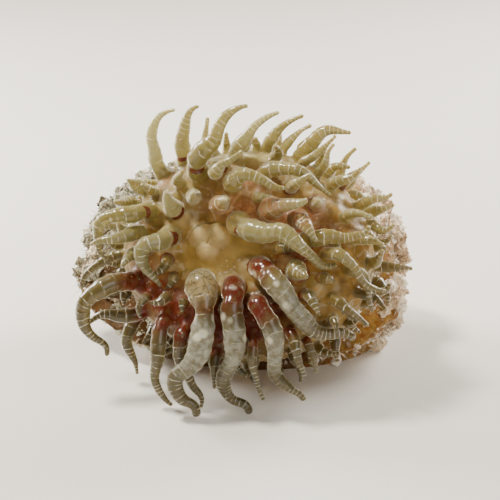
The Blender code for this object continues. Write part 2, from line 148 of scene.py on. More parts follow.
@dataclass(frozen=True)
class CollarShape:
    """The domed collar that leans forward and carries the disc and the tentacles."""

    centre: tuple[float, float, float] = (-0.6, -7.0, 14.6)
    lean: float = math.radians(38.0)
    turn: float = math.radians(12.0)
    half_width: float = 12.6
    half_height: float = 10.6
    disc_shift: tuple[float, float] = (-3.0, -1.4)
    rim_share: float = 0.66
    disc_edge: float = 0.105
    outline: tuple[tuple[float, float], ...] = (
        (0.0, 0.1), (0.33, 0.4), (0.48, 1.0), (0.64, 1.5), (0.82, 1.1), (0.94, 0.0),
        (1.0, -1.8), (0.99, -3.8), (0.94, -5.6), (0.84, -7.0))

    @cached_property
    def axis(self) -> np.ndarray:
        """The direction that the disc faces."""
        return np.array([-math.sin(self.turn) * math.cos(self.lean),
                         -math.cos(self.turn) * math.cos(self.lean), math.sin(self.lean)])

    @cached_property
    def sideways(self) -> np.ndarray:
        """The level direction across the disc, to +X."""
        return unit(np.cross((0.0, 0.0, 1.0), self.axis))

    @cached_property
    def rise(self) -> np.ndarray:
        """The direction up the disc."""
        return np.cross(self.axis, self.sideways)

    def point(self, along: np.ndarray | float, clock: np.ndarray | float) -> np.ndarray:
        """Find points of the collar.

        Args:
            along: Places from the disc's middle, 0, to the neck, 1.
            clock: Turns round the collar, in radians.

        Returns:
            The points, in millimetres.
        """
        along, clock = np.broadcast_arrays(np.asarray(along, float), np.asarray(clock, float))
        outline = smooth_rows(self.outline, along)
        share, height = outline[..., 0], outline[..., 1]
        inward = np.clip(1.0 - share, 0.0, 1.0) * (along < self.rim_share)
        across = self.half_width * share * np.cos(clock) + self.disc_shift[0] * inward
        upward = self.half_height * share * np.sin(clock) + self.disc_shift[1] * inward
        return (np.array(self.centre) + across[..., None] * self.sideways + upward[..., None] * self.rise
                + height[..., None] * self.axis)

    def disc_middle(self) -> np.ndarray:
        """The middle of the disc's edge."""
        return self.point(self.disc_edge, np.linspace(0.0, math.tau, 32, endpoint=False)).mean(axis=0)


@dataclass(frozen=True)
class ColumnShape:
    """The low, lumpy column on its wide foot, leaning forward up to the collar's neck."""

    collar: CollarShape
    loops: tuple[tuple[float, ...], ...] = (
        (1.0, 3.5, 0.0, 13.2, 8.2), (0.4, 4.2, 2.8, 15.8, 9.7), (-0.5, 4.7, 6.2, 17.6, 10.7),
        (-0.9, 4.4, 9.6, 17.9, 10.8), (-0.5, 2.4, 11.6, 16.0, 10.0))
    lumps: tuple[tuple[float, ...], ...] = ((3, 0.040, 1.2, 2.5), (5, 0.028, 0.4, -3.2), (8, 0.014, 2.1, 5.0))
    squareness: float = 1.0

    def point(self, share: np.ndarray | float, clock: np.ndarray | float) -> np.ndarray:
        """Find points of the column's side.

        Args:
            share: Places from the floor, 0, to the collar's neck, 1.
            clock: Turns round the column, in radians.

        Returns:
            The points, in millimetres.
        """
        share, clock = np.broadcast_arrays(np.asarray(share, float), np.asarray(clock, float))
        neck_share, neck_height = self.collar.outline[-1]
        neck_middle = np.array(self.collar.centre) + (neck_height - CLEARANCE) * self.collar.axis
        neck = (*neck_middle, neck_share * self.collar.half_width, neck_share * self.collar.half_height)
        loop = smooth_rows(self.loops + (neck,), share)
        lean = (0.5 * math.pi - self.collar.lean) * share
        turn = self.collar.turn * share
        axis = np.stack([-np.sin(turn) * np.sin(lean), -np.cos(turn) * np.sin(lean), np.cos(lean)], axis=-1)
        sideways = np.stack([np.cos(turn), -np.sin(turn), 0.0 * turn], axis=-1)
        belly = np.sin(math.pi * share)
        swell = 1.0 + belly * sum(size * np.sin(count * clock + phase + twist * share)
                                  for count, size, phase, twist in self.lumps)
        power = 2.0 / (2.0 + self.squareness * belly)
        across = loop[..., 3] * swell * np.sign(np.cos(clock)) * np.abs(np.cos(clock)) ** power
        back = loop[..., 4] * swell * np.sign(np.sin(clock)) * np.abs(np.sin(clock)) ** power
        return loop[..., :3] + across[..., None] * sideways + back[..., None] * np.cross(axis, sideways)


class Look(Enum):
    """How a tentacle is marked."""

    RINGED = "olive, with pale rings"
    BANDED = "olive, with pale rings and a dark crescent above its bulb"
    STAINED = "maroon at its base, then olive with pale rings"
    MILKY = "maroon at its base, then milky, then ringed"
    NETTED = "a netted bulb, then milky, then ringed"
    ROSY = "pink-brown and mottled"


RINGED, BANDED, STAINED, MILKY, NETTED, ROSY = Look

@dataclass(frozen=True)
class Outline:
    """How much of its solid's bulb and waist a tentacle's skin keeps, and how far it thins to its tip."""

    bulb: float
    waist: float
    taper: float
    tip: float
    stretch: float = 1.0


SOLID_OUTLINE = Outline(1.0, 1.0, 0.62, 0.27)
OUTLINES = {RINGED: Outline(0.5, 0.5, 0.76, 0.21), BANDED: Outline(0.9, 1.0, 0.78, 0.22),
            STAINED: Outline(0.1, 0.2, 0.74, 0.2), MILKY: Outline(0.1, 0.7, 0.66, 0.24),
            NETTED: Outline(1.5, 2.0, 0.64, 0.26, 1.5), ROSY: Outline(0.5, 0.6, 0.78, 0.25)}


@dataclass(frozen=True)
class Tentacle:
    """One tentacle: where it grows on the collar, its size, its look and the headings it takes."""

    name: str
    ring: str
    clock: float
    length: float
    thickness: float
    look: Look
    headings: tuple[tuple[float, float], ...]

    rings = {"A": 0.12, "B": 0.22, "C": 0.30, "D": 0.39, "E": 0.49, "F": 0.60, "G": 0.72}
    steps = 26
    long = 11.0
    short = 4.3
    bulb_size, bulb_place, bulb_reach = 0.20, 0.07, 0.05
    waist_size, waist_place, waist_reach = 0.16, 0.17, 0.035
    taper_start, taper_span, taper_bend = 0.30, 0.66, 1.15
    base_place = 0.05

    @property
    def along(self) -> float:
        """Its place from the disc's middle, 0, to the neck, 1."""
        return self.rings[self.ring]

    def nodes(self) -> list[str]:
        """Names of the solids that this tentacle stands for, none where it grows on the collar's own."""
        if self.length <= self.short:
            return []
        if self.length <= self.long:
            return [f"tentacle_{self.name}"]
        return [f"tentacle_{self.name}_base", f"tentacle_{self.name}_tip"]

    def radius(self, share: np.ndarray, outline: Outline = SOLID_OUTLINE) -> np.ndarray:
        """Find the radius: a bulb, a narrow waist above it, and a long taper.

        Args:
            share: Places along the tentacle, from 0 to 1.
            outline: How strong each of them is; as it comes, that of the solids.

        Returns:
            The radii, in millimetres.
        """
        near = share / outline.stretch
        bulb = outline.bulb * self.bulb_size * np.exp(-((near - self.bulb_place) / self.bulb_reach) ** 2)
        waist = outline.waist * self.waist_size * np.exp(-((near - self.waist_place) / self.waist_reach) ** 2)
        thinned = np.clip((share - self.taper_start) / self.taper_span, 0.0, 1.0)
        taper = outline.taper * thinned ** self.taper_bend
        return np.maximum(0.5 * self.thickness * (1.0 + bulb - waist - taper), outline.tip)

    def base(self, outline: Outline = SOLID_OUTLINE) -> float:
        """The radius just above the root, in millimetres."""
        return float(self.radius(np.array(self.base_place), outline))

    def path(self, collar: CollarShape) -> np.ndarray:
        """Grow the path from the collar, turning smoothly through the headings."""
        clock = math.radians(self.clock)
        root = collar.point(self.along, clock)
        turns = [surface_normal(collar.point, self.along, clock)]
        for angle, forward in self.headings:
            flat = math.sqrt(1.0 - forward * forward)
            turned = math.radians(angle)
            turns.append(np.array([math.cos(turned) * flat, -forward, math.sin(turned) * flat]))
        turns = np.array(turns)
        count = len(turns) - 1
        spot = (np.arange(self.steps) + 0.5) / self.steps * count
        index = np.minimum(spot.astype(int), count - 1)
        part = (spot - index)[:, None]
        ways = unit(turns[index] * (1.0 - part) + turns[index + 1] * part)
        return np.vstack([root, root + np.cumsum(ways, axis=0) * self.length / self.steps])


TENTACLES = tuple(Tentacle(*row) for row in (
    ("upper_1", "F", 138, 8.8, 1.6, RINGED, ((104, 0.2), (97, 0), (52, 0), (8, 0))),
    ("upper_2", "F", 125, 7.0, 1.8, BANDED, ((94, 0.2), (80, 0), (68, 0), (35, 0))),
    ("upper_3", "E", 116, 5.6, 1.0, RINGED, ((76, 0.4), (80, 0), (84, 0))),
    ("upper_4", "D", 115, 10.6, 2.1, BANDED, ((66, 0.6), (62, 0.2), (78, 0), (48, 0), (8, 0))),
    ("upper_5", "D", 104, 7.6, 1.6, BANDED, ((200, 0.9), (60, 0.6), (38, 0.1), (28, -0.2))),
    ("upper_6", "E", 98, 7.4, 1.5, RINGED, ((58, 0.5), (54, 0.1), (36, 0), (15, 0))),
    ("upper_7", "F", 86, 6.0, 1.3, RINGED, ((62, 0.3), (50, 0), (32, 0), (10, 0))),
    ("upper_8", "F", 77, 4.6, 1.0, RINGED, ((60, 0.1), (42, -0.1), (22, -0.1))),
    ("upper_9", "F", 70, 7.2, 1.8, RINGED, ((60, 0.4), (40, 0), (357, 0), (355, 0))),
    ("upper_10", "E", 63, 6.0, 1.1, RINGED, ((50, 0.5), (40, 0.1), (42, 0))),
    ("upper_11", "E", 52, 5.2, 1.0, RINGED, ((60, 0.5), (80, 0.1), (55, 0))),
    ("upper_12", "G", 52, 4.4, 1.0, RINGED, ((75, 0.1), (60, 0), (35, 0))),
    ("upper_13", "F", 44, 4.4, 1.0, STAINED, ((55, 0.4), (30, 0), (50, 0))),
    ("inner_1", "C", 148, 6.2, 1.9, BANDED, ((95, 0.8), (95, 0.7), (90, 0.8))),
    ("inner_2", "D", 130, 4.4, 1.3, RINGED, ((80, 0.8), (80, 0.9))),
    ("inner_3", "C", 127, 4.8, 1.6, RINGED, ((60, 0.9), (100, 0.9))),
    ("inner_4", "C", 94, 9.6, 1.9, RINGED, ((90, 0.9), (55, 0.5), (0, 0.4), (320, 0.3), (10, 0.1))),
    ("inner_5", "B", 96, 4.4, 2.0, ROSY, ((80, 0.9), (40, 0.9))),
    ("inner_6", "B", 48, 7.0, 2.4, ROSY, ((20, 0.7), (40, 0.5), (60, 0.3))),
    ("inner_7", "D", 76, 9.0, 1.6, RINGED, ((20, 0.7), (350, 0.3), (318, 0.2), (345, 0))),
    ("inner_8", "D", 37, 4.0, 2.0, ROSY, ((60, 0.9), (80, 0.9))),
    ("inner_9", "C", 22, 5.0, 2.0, ROSY, ((20, 0.9), (330, 0.7))),
    ("inner_10", "E", 44, 5.4, 1.4, RINGED, ((50, 0.7), (20, 0.2), (60, 0))),
    ("inner_11", "D", 57, 4.6, 1.5, STAINED, ((60, 0.8), (20, 0.3))),
    ("left_1", "D", 158, 10.4, 1.8, BANDED,
     ((180, 0.7), (180, 0.2), (195, 0.1), (262, 0), (275, 0), (325, 0.2))),
    ("left_2", "D", 177, 6.4, 1.6, RINGED, ((185, 0.7), (178, 0.2), (215, 0))),
    ("left_3", "B", 165, 9.2, 2.0, BANDED, ((185, 0.8), (190, 0.4), (278, 0.3), (312, 0.1), (312, 0))),
    ("left_4", "F", 188, 6.0, 1.1, RINGED, ((205, 0.2), (228, 0), (255, 0))),
    ("left_5", "D", 190, 3.6, 1.6, RINGED, ((195, 0.8), (235, 0.8))),
    ("left_6", "E", 207, 12.8, 2.0, STAINED,
     ((165, 0.6), (208, 0.3), (243, 0.1), (288, 0), (322, 0), (262, 0))),
    ("left_7", "F", 222, 6.8, 1.5, STAINED, ((180, 0.4), (165, 0.1), (205, 0), (245, 0))),
    ("left_8", "F", 150, 4.2, 1.5, RINGED, ((130, 0.8), (110, 0.8))),
    ("left_9", "E", 160, 4.4, 1.5, RINGED, ((150, 0.8), (140, 0.7))),
    ("lower_1", "G", 218, 7.6, 1.4, STAINED, ((240, 0.4), (272, 0), (292, 0), (278, 0))),
    ("lower_2", "E", 236, 10.4, 1.6, STAINED, ((262, 0.6), (264, 0), (262, 0), (300, 0), (316, 0))),
    ("lower_3", "A", 250, 18.2, 2.6, NETTED,
     ((280, 0.85), (275, 0.6), (262, 0.25), (240, 0.15), (222, 0.15), (285, 0.1), (315, 0.15), (262, 0.25))),
    ("lower_4", "E", 248, 9.2, 1.5, STAINED, ((270, 0.4), (282, 0), (290, 0), (310, 0), (245, 0))),
    ("lower_5", "A", 294, 16.0, 2.3, MILKY,
     ((288, 0.8), (276, 0.5), (270, 0.15), (256, 0.15), (238, 0.1), (280, 0.1), (345, 0.15), (272, 0.25))),
    ("lower_6", "E", 284, 6.8, 1.0, STAINED, ((265, 0.4), (285, 0), (285, 0), (292, 0))),
    ("lower_7", "C", 300, 13.0, 2.0, MILKY,
     ((318, 0.7), (308, 0.4), (288, 0.1), (252, 0), (266, 0), (318, 0), (325, 0), (290, 0))),
    ("lower_8", "A", 340, 14.0, 2.4, MILKY,
     ((322, 0.85), (322, 0.6), (306, 0.2), (300, 0.1), (350, 0), (8, 0), (305, 0))),
    ("right_1", "A", 76, 13.6, 2.3, BANDED,
     ((5, 0.8), (5, 0.5), (8, 0.2), (335, 0.1), (295, 0), (305, 0), (355, 0))),
    ("right_2", "C", 14, 8.4, 1.7, RINGED, ((10, 0.6), (355, 0.2), (5, 0), (20, 0), (85, 0))),
    ("right_3", "D", 357, 8.6, 1.3, RINGED, ((40, 0.7), (330, 0.3), (295, 0.2), (330, 0), (340, 0))),
    ("right_4", "E", 350, 5.8, 1.1, RINGED, ((0, 0.5), (300, 0.1), (275, 0), (285, 0))),
    ("right_5", "E", 332, 5.2, 1.2, RINGED, ((340, 0.7), (325, 0.2), (315, 0))),
    ("right_6", "F", 318, 3.0, 1.2, RINGED, ((60, 0.9), (80, 0.9))),
    ("right_7", "F", 306, 3.8, 1.0, STAINED, ((290, 0.4), (280, 0))),
    ("right_8", "F", 30, 4.4, 1.2, RINGED, ((40, 0.5), (0, 0), (60, 0))),
    ("right_9", "E", 10, 4.2, 1.3, RINGED, ((10, 0.6), (330, 0.3))),
    ("right_10", "E", 303, 5.4, 1.2, STAINED, ((280, 0.6), (300, 0.1), (290, 0))),
    ("right_11", "C", 342, 3.8, 2.2, STAINED, ((30, 0.9), (0, 0.9))),
    ("right_12", "E", 24, 3.8, 1.2, RINGED, ((30, 0.7), (345, 0.2))),
    ("right_13", "F", 341, 3.8, 1.1, RINGED, ((345, 0.5), (310, 0.2))),
    ("right_14", "D", 326, 3.6, 1.3, STAINED, ((330, 0.8), (300, 0.5))),
    ("right_15", "G", 0, 4.0, 1.2, RINGED, ((10, 0.3), (340, 0.1))),
    ("upper_14", "G", 84, 4.0, 1.0, RINGED, ((80, 0.1), (62, 0))),
    ("left_10", "G", 170, 4.2, 1.3, RINGED, ((170, 0.2), (200, 0))),
    ("lower_9", "F", 264, 4.2, 1.2, STAINED, ((275, 0.3), (265, 0))),
))


@dataclass
class TentacleField:
    """All the tentacles together, eased clear of one another, of the body and of the floor."""

    collar: CollarShape
    column: ColumnShape
    tentacles: tuple[Tentacle, ...] = TENTACLES
    rounds: int = 90
    step: float = 0.12
    smoothing: int = 2
    flattened: float = 0.8
    turns: int = 90
    collar_places: tuple[float, float, int] = (0.02, 0.99, 40)
    column_places: tuple[float, float, int] = (0.02, 0.98, 24)

    def body_surface(self) -> tuple[np.ndarray, np.ndarray]:
        """Spread points over the collar and the column, with their outward directions."""
        turns = np.linspace(0.0, math.tau, self.turns, endpoint=False)
        along, clock = np.meshgrid(np.linspace(*self.collar_places), turns)
        share, turn = np.meshgrid(np.linspace(*self.column_places), turns)
        points = (self.collar.point(along, clock), self.column.point(share, turn))
        outward = (surface_normal(self.collar.point, along, clock),
                   -surface_normal(self.column.point, share, turn))
        return (np.vstack([rows.reshape(-1, 3) for rows in points]),
                np.vstack([rows.reshape(-1, 3) for rows in outward]))

    def settle(self) -> np.ndarray:
        """Ease the paths apart in small smoothed steps, keeping their roots.

        Returns:
            One settled path for each tentacle, in millimetres.
        """
        share = np.linspace(0.0, 1.0, Tentacle.steps + 1)
        grown = np.array([each.path(self.collar) for each in self.tentacles])
        radii = np.array([each.radius(share) for each in self.tentacles])
        surface, outward = self.body_surface()
        tree = KDTree(len(surface))
        for number, point in enumerate(surface):
            tree.insert(point, number)
        tree.balance()
        count, length = radii.shape
        same = np.kron(np.eye(count, dtype=bool), np.ones((length, length), dtype=bool))
        thick = radii.reshape(-1)
        reach = thick[:, None] + thick[None, :] + CLEARANCE
        travelled = np.linalg.norm(grown - grown[:, :1], axis=-1).reshape(-1)
        height = np.minimum(thick + CLEARANCE, travelled)
        everyone = np.arange(len(thick))
        shift = np.zeros_like(grown)
        for _ in range(self.rounds):
            flat = (grown + shift).reshape(-1, 3)
            squares = (flat ** 2).sum(axis=1)
            distance = np.sqrt(np.clip(squares[:, None] + squares[None, :] - 2.0 * flat @ flat.T, 1e-6, None))
            lack = np.where(same, 0.0, reach - distance)
            worst = lack.argmax(axis=1)
            short = np.clip(lack[everyone, worst], 0.0, self.step)
            push = (flat - flat[worst]) * (short / distance[everyone, worst])[:, None]
            for number, point in enumerate(flat):
                _, nearest, _ = tree.find(point)
                rise = (point - surface[nearest]) @ outward[nearest]
                push[number] += np.clip(height[number] - rise, 0.0, self.step) * outward[nearest]
            push[:, 2] += np.clip(self.flattened * thick - flat[:, 2], 0.0, self.step)
            shift += push.reshape(shift.shape)
            shift[:, 0] = 0.0
            for _ in range(self.smoothing):
                padded = np.pad(shift, ((0, 0), (1, 1), (0, 0)), mode="reflect", reflect_type="odd")
                shift = 0.25 * padded[:, :-2] + 0.5 * padded[:, 1:-1] + 0.25 * padded[:, 2:]
        settled = grown + shift
        settled[..., 2] = np.maximum(settled[..., 2], self.flattened * radii)
        return settled

    def compare(self, paths: np.ndarray) -> float:
        """Compare the settled paths with the solids in the frame.

        Args:
            paths: The settled paths, in millimetres.

        Returns:
            The furthest that a tentacle's tip lies from its solid's box, in millimetres.
        """
        furthest = 0.0
        for tentacle, path in zip(self.tentacles, paths):
            for node in tentacle.nodes()[-1:]:
                low, high = (np.array(corner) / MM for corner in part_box(node))
                outside = np.maximum(low - path[-1], path[-1] - high).max()
                furthest = max(furthest, float(outside))
        return furthest


@dataclass(frozen=True)
class Bud(Tentacle):
    """A short tentacle on open ground between the long ones."""

    spot: float = 0.5

    @property
    def along(self) -> float:
        """Its place from the disc's middle, 0, to the neck, 1."""
        return self.spot


@dataclass(frozen=True)
class BudBed:
    """Sows buds wherever the long tentacles leave room on the collar."""

    collar: CollarShape
    most: int = 80
    tries: int = 5000
    seed: int = 12
    span: tuple[float, float] = (0.16, 0.82)
    thicknesses: tuple[float, float] = (0.95, 1.35)
    lengths: tuple[float, float] = (1.5, 3.4)
    gap: float = 0.2
    root_room: float = 1.15
    side_room: float = 0.9
    first_turn: float = 60.0
    last_turn: float = 110.0
    forwards: tuple[float, float] = (0.75, 0.35)
    last_forward: tuple[float, float] = (-0.1, 0.4)
    upper: tuple[float, float] = (20.0, 160.0)
    upper_longer: float = 1.3
    upper_thicker: float = 1.1
    lower: tuple[float, float] = (195.0, 345.0)
    stained_within: float = 0.6

    def draw(self, random: np.random.Generator, number: int) -> Bud:
        """Draw one bud at random.

        Args:
            random: The seeded source.
            number: The bud's number, for its name.

        Returns:
            The bud.
        """
        clock, spot = random.uniform(0.0, 360.0), random.uniform(*self.span)
        thickness, length = random.uniform(*self.thicknesses), random.uniform(*self.lengths)
        first = clock + random.uniform(-self.first_turn, self.first_turn)
        last = clock + random.uniform(-self.last_turn, self.last_turn)
        near, middle = self.forwards
        headings = ((first, near), (0.5 * (first + last), middle), (last, random.uniform(*self.last_forward)))
        if self.upper[0] < clock < self.upper[1]:
            length *= self.upper_longer
            thickness *= self.upper_thicker
        low = self.lower[0] < clock < self.lower[1]
        look = STAINED if low and spot < self.stained_within else RINGED
        return Bud(f"bud_{number}", "", clock, length, thickness, look, headings, spot)

    def sow(self, tentacles: Sequence[Tentacle], paths: np.ndarray) -> tuple[list[Tentacle], np.ndarray]:
        """Add the buds that have room.

        Args:
            tentacles: The long tentacles.
            paths: Their settled paths, in millimetres.

        Returns:
            All the tentacles, and all their paths.
        """
        share = np.linspace(0.0, 1.0, Tentacle.steps + 1)
        random = np.random.default_rng(self.seed)
        grown, ways = list(tentacles), list(paths)
        thick = [each.radius(share) for each in grown]
        for _ in range(self.tries):
            if len(grown) == len(tentacles) + self.most:
                break
            bud = self.draw(random, len(grown))
            way, radii = bud.path(self.collar), bud.radius(share)
            roots = np.linalg.norm(np.array(ways)[:, 0] - way[0], axis=1)
            bases = np.array([each[1] for each in thick])
            if (roots < self.root_room * (bases + radii[1]) + self.gap).any():
                continue
            away = np.linalg.norm(np.array(ways)[:, None] - way[:, None], axis=-1)
            if (away < np.array(thick)[:, None] + self.side_room * radii[:, None]).any():
                continue
            grown.append(bud)
            ways.append(way)
            thick.append(radii)
        return grown, np.array(ways)


@dataclass(frozen=True)
class MouthShape:
    """The swollen, lobed lips round the mouth, and the gullet inside them."""

    place: tuple[float, float] = (-1.4, 1.2)
    profile: tuple[tuple[float, float], ...] = (
        (0.04, -0.7), (0.12, -0.5), (0.22, -0.15), (0.4, 0.05), (0.8, 0.1), (1.4, 0.08), (1.9, 0.02),
        (2.25, -0.08))
    folds: tuple[tuple[int, float, float], ...] = ((1, 0.06, 1.2), (2, 0.05, 0.2), (3, 0.04, 1.6))
    squash: float = 0.95
    slit: float = 0.14
    slit_turn: float = math.radians(-20.0)
    gullet: tuple[float, float] = (0.1, 1.0)
    gape: float = 0.35

    def rows(self, collar: CollarShape, clock: np.ndarray, count: int = 22) -> list[np.ndarray]:
        """Lay loops from inside the mouth out over the lips.

        Args:
            collar: The collar that the mouth sits in.
            clock: Turns round the mouth.
            count: How many loops to lay.

        Returns:
            The loops, in millimetres.
        """
        middle = collar.disc_middle() + self.place[0] * collar.sideways + self.place[1] * collar.rise
        lobe = 1.0 + sum(size * np.sin(many * clock + phase) for many, size, phase in self.folds)
        rows = []
        for reach, height in smooth_rows(self.profile, np.linspace(0.0, 1.0, count)):
            inside = 1.0 - ease(reach, *self.gullet)
            turned = clock - self.slit_turn
            narrow = reach * lobe * (1.0 - inside * (1.0 - self.slit)) * np.cos(turned)
            tall = reach * lobe * (self.squash + self.gape * inside) * np.sin(turned)
            wide = narrow * math.cos(self.slit_turn) - tall * math.sin(self.slit_turn)
            high = narrow * math.sin(self.slit_turn) + tall * math.cos(self.slit_turn)
            rows.append(middle + wide[:, None] * collar.sideways + high[:, None] * collar.rise
                        + height * collar.axis)
        return rows


@dataclass(frozen=True)
class Blush:
    """A soft patch of colour on the collar: its clock in degrees, its place, its reach both ways."""

    clock: float
    along: float
    turn: float
    reach: float
    strength: float = 1.0

    def amount(self, clock: np.ndarray, along: np.ndarray) -> np.ndarray:
        """How strong the patch is at places on the collar."""
        away = (np.degrees(clock) - self.clock + 180.0) % 360.0 - 180.0
        return self.strength * np.exp(-(away / self.turn) ** 2 - ((along - self.along) / self.reach) ** 2)


MAROON_BLUSHES = (Blush(212, 0.42, 24, 0.16), Blush(240, 0.40, 24, 0.18), Blush(272, 0.40, 24, 0.16, 1.2),
                  Blush(300, 0.32, 18, 0.14), Blush(346, 0.23, 24, 0.08, 1.3), Blush(15, 0.40, 15, 0.08, 0.7),
                  Blush(3, 0.27, 24, 0.08, 0.75))
ROSY_BLUSHES = (Blush(96, 0.20, 22, 0.08), Blush(50, 0.24, 24, 0.10), Blush(88, 0.36, 16, 0.06),
                Blush(20, 0.30, 18, 0.08, 0.7), Blush(135, 0.52, 10, 0.06, 0.6))


@dataclass(frozen=True)
class Swelling:
    """A low bulb beside the disc: its place across and up the collar, its reach and its height."""

    across: float
    upward: float
    reach: float
    height: float
    round: float = 0.8

    def lift(self, collar: CollarShape, points: np.ndarray) -> np.ndarray:
        """How far points rise, in millimetres."""
        away = points - np.array(collar.centre)
        near = np.hypot(away @ collar.sideways - self.across, away @ collar.rise - self.upward) / self.reach
        return self.height * np.clip(1.0 - near ** 2, 0.0, 1.0) ** self.round

    @staticmethod
    def lifts(swellings: Sequence[Swelling], collar: CollarShape, points: np.ndarray) -> np.ndarray:
        """How far points rise on each of some swellings, in millimetres."""
        return np.array([swelling.lift(collar, points) for swelling in swellings])


LIP_LOBES = (Swelling(-2.75, 0.75, 1.5, 1.0, 0.6), Swelling(-4.45, 0.8, 1.45, 0.8, 0.6),
             Swelling(-3.45, -0.55, 1.35, 0.7, 0.6))
ROSY_SWELLINGS = (Swelling(-0.2, 3.5, 1.35, 0.9), Swelling(2.9, 2.3, 1.4, 0.9), Swelling(5.6, 3.2, 1.2, 0.8),
                  Swelling(4.5, 0.6, 1.0, 0.5))
SWELLINGS = (Swelling(1.0, -2.1, 1.4, 0.85), Swelling(-1.0, -3.9, 1.2, 0.7), Swelling(-7.4, -1.1, 1.1, 0.8),
             Swelling(-6.6, -2.7, 0.95, 0.6), Swelling(7.1, 4.8, 1.3, 0.8), Swelling(-5.1, -3.5, 0.8, 0.5),
             Swelling(-5.6, 4.0, 0.9, 0.6), Swelling(4.6, -1.6, 1.2, 0.7), Swelling(8.2, -3.6, 1.0, 0.5))


class Zone:
    """Where each stretch of the body's rows starts, as one number along the body, and where things fade."""

    MOUTH = 0.0
    DISC = 1.0
    COLLAR = 2.0
    COLUMN = 3.0
    UNDERSIDE = 4.0
    END = 5.0
    SWOLLEN_FROM, SWOLLEN_TO = (0.02, 0.32), (2.7, 2.9)
    BLISTERS_FROM, BLISTERS_TO = (2.02, 2.12), (2.72, 2.95)
    BELLY = (2.72, 3.12)
    FOLDS_FROM, FOLDS_TO = (2.86, 3.12), (3.9, 4.0)


@dataclass
class Body:
    """The body's own rows of points, from inside the mouth out to the middle of the foot."""

    collar: CollarShape
    column: ColumnShape
    mouth: MouthShape = field(default_factory=MouthShape)
    columns: int = 220
    disc_rows: int = 9
    collar_rows: int = 60
    column_rows: int = 46
    column_top: float = 0.985
    foot_rows: int = 6
    disc_ribs: int = 24
    disc_rib: float = 0.02
    disc_sag: float = 0.16
    neck_reach: float = 0.13
    neck_smoothing: int = 14
    depth: float = 0.16
    folds: tuple[tuple[float, float], ...] = ((0.30, 1.0), (0.8, 0.5), (2.0, 0.16))
    blister: float = 0.62
    blister_height: float = 0.34
    seam_width: float = 0.9

    def rows(self) -> tuple[np.ndarray, np.ndarray]:
        """Lay the plain rows, with nothing raised or folded yet.

        Returns:
            The points, one row after another, and each row's zone number.
        """
        clock = np.linspace(0.0, math.tau, self.columns, endpoint=False)
        rows = self.mouth.rows(self.collar, clock)
        zones = list(np.linspace(Zone.MOUTH, Zone.DISC, len(rows), endpoint=False))
        lips, edge = rows[-1], self.collar.point(self.collar.disc_edge, clock)
        for part in (np.arange(self.disc_rows) + 1.0) / (self.disc_rows + 1.0):
            bulge = math.sin(math.pi * part)
            height = self.disc_rib * bulge * np.cos(self.disc_ribs * clock) - self.disc_sag * bulge
            rows.append(lips * (1.0 - part) + edge * part + height[:, None] * self.collar.axis)
            zones.append(Zone.DISC + part)
        for along in np.linspace(self.collar.disc_edge, 1.0, self.collar_rows):
            rows.append(self.collar.point(along, clock))
            zones.append(Zone.COLLAR + along)
        for share in np.linspace(self.column_top, 0.0, self.column_rows):
            rows.append(self.column.point(share, clock))
            zones.append(Zone.COLUMN + 1.0 - share)
        foot = rows[-1]
        for part in (np.arange(self.foot_rows) + 1.0) / (self.foot_rows + 1.0):
            rows.append(foot * (1.0 - part) + foot.mean(axis=0) * part)
            zones.append(Zone.UNDERSIDE + part)
        return np.array(rows), np.array(zones)

    def lay(self) -> tuple[np.ndarray, np.ndarray, np.ndarray]:
        """Lay the finished rows.

        Returns:
            The points, one row after another, each row's zone number, and how near each point is to a
            seam between two blisters.
        """
        points, places = self.rows()
        near_neck = np.exp(-((places - Zone.COLUMN) / self.neck_reach) ** 2)[:, None, None]
        for _ in range(self.neck_smoothing):
            padded = np.pad(points, ((1, 1), (0, 0), (0, 0)), mode="edge")
            points += near_neck * (0.5 * (padded[:-2] + padded[2:]) - points)
        front = (1.0 - ease(places, *Zone.SWOLLEN_TO)) * ease(places, *Zone.SWOLLEN_FROM)
        lift = Swelling.lifts(SWELLINGS + ROSY_SWELLINGS, self.collar, points).sum(axis=0)
        lift += Swelling.lifts(LIP_LOBES, self.collar, points).max(axis=0)
        points += (front[:, None] * lift)[..., None] * self.collar.axis
        seams = self.seams(points, places)
        raised = self.blister_height * (0.7 - seams ** 2) * ease(seams, 0.0, 0.02)
        points = points - raised[..., None] * self.inward(points)
        return self.folded(points, places), places, seams

    def seams(self, points: np.ndarray, places: np.ndarray) -> np.ndarray:
        """Find where the collar's blisters meet: 1 on a seam, 0 in a blister's middle and off the collar."""
        amount = ease(places, *Zone.BLISTERS_FROM) * (1.0 - ease(places, *Zone.BLISTERS_TO))
        seams = np.zeros(points.shape[:2])
        for row in np.flatnonzero(amount > 0.0):
            apart = [noise.voronoi(Vector(point * self.blister))[0] for point in points[row]]
            near = [1.0 - (far - close) / self.seam_width for close, far, *_ in apart]
            seams[row] = amount[row] * np.clip(near, 0.01, 1.0)
        return seams

    @staticmethod
    def inward(points: np.ndarray) -> np.ndarray:
        """The directions into the body at its rows of points."""
        down = np.gradient(points, axis=0)
        across = np.roll(points, -1, axis=1) - np.roll(points, 1, axis=1)
        inward = unit(np.cross(down, across) + 1e-12)
        middle = points.mean(axis=(0, 1))
        return -inward if ((points - middle) * inward).sum() > 0.0 else inward

    def folded(self, points: np.ndarray, places: np.ndarray) -> np.ndarray:
        """Sink the column by uneven folds, so that grit has room on it, and leave the foot flat.

        Args:
            points: The rows of points.
            places: Each row's zone number.

        Returns:
            The moved points.
        """
        amount = ease(places, *Zone.FOLDS_FROM) * (1.0 - ease(places, *Zone.FOLDS_TO))
        sink = np.full(points.shape[:2], self.depth)
        for number, (scale, size) in enumerate(self.folds):
            start = (number * 7.3,) * 3
            for row in np.flatnonzero(amount > 0.0):
                sink[row] += [size * (0.5 + 0.5 * soft_noise(point, scale, start)) for point in points[row]]
        return points + (amount[:, None] * sink)[..., None] * self.inward(points)


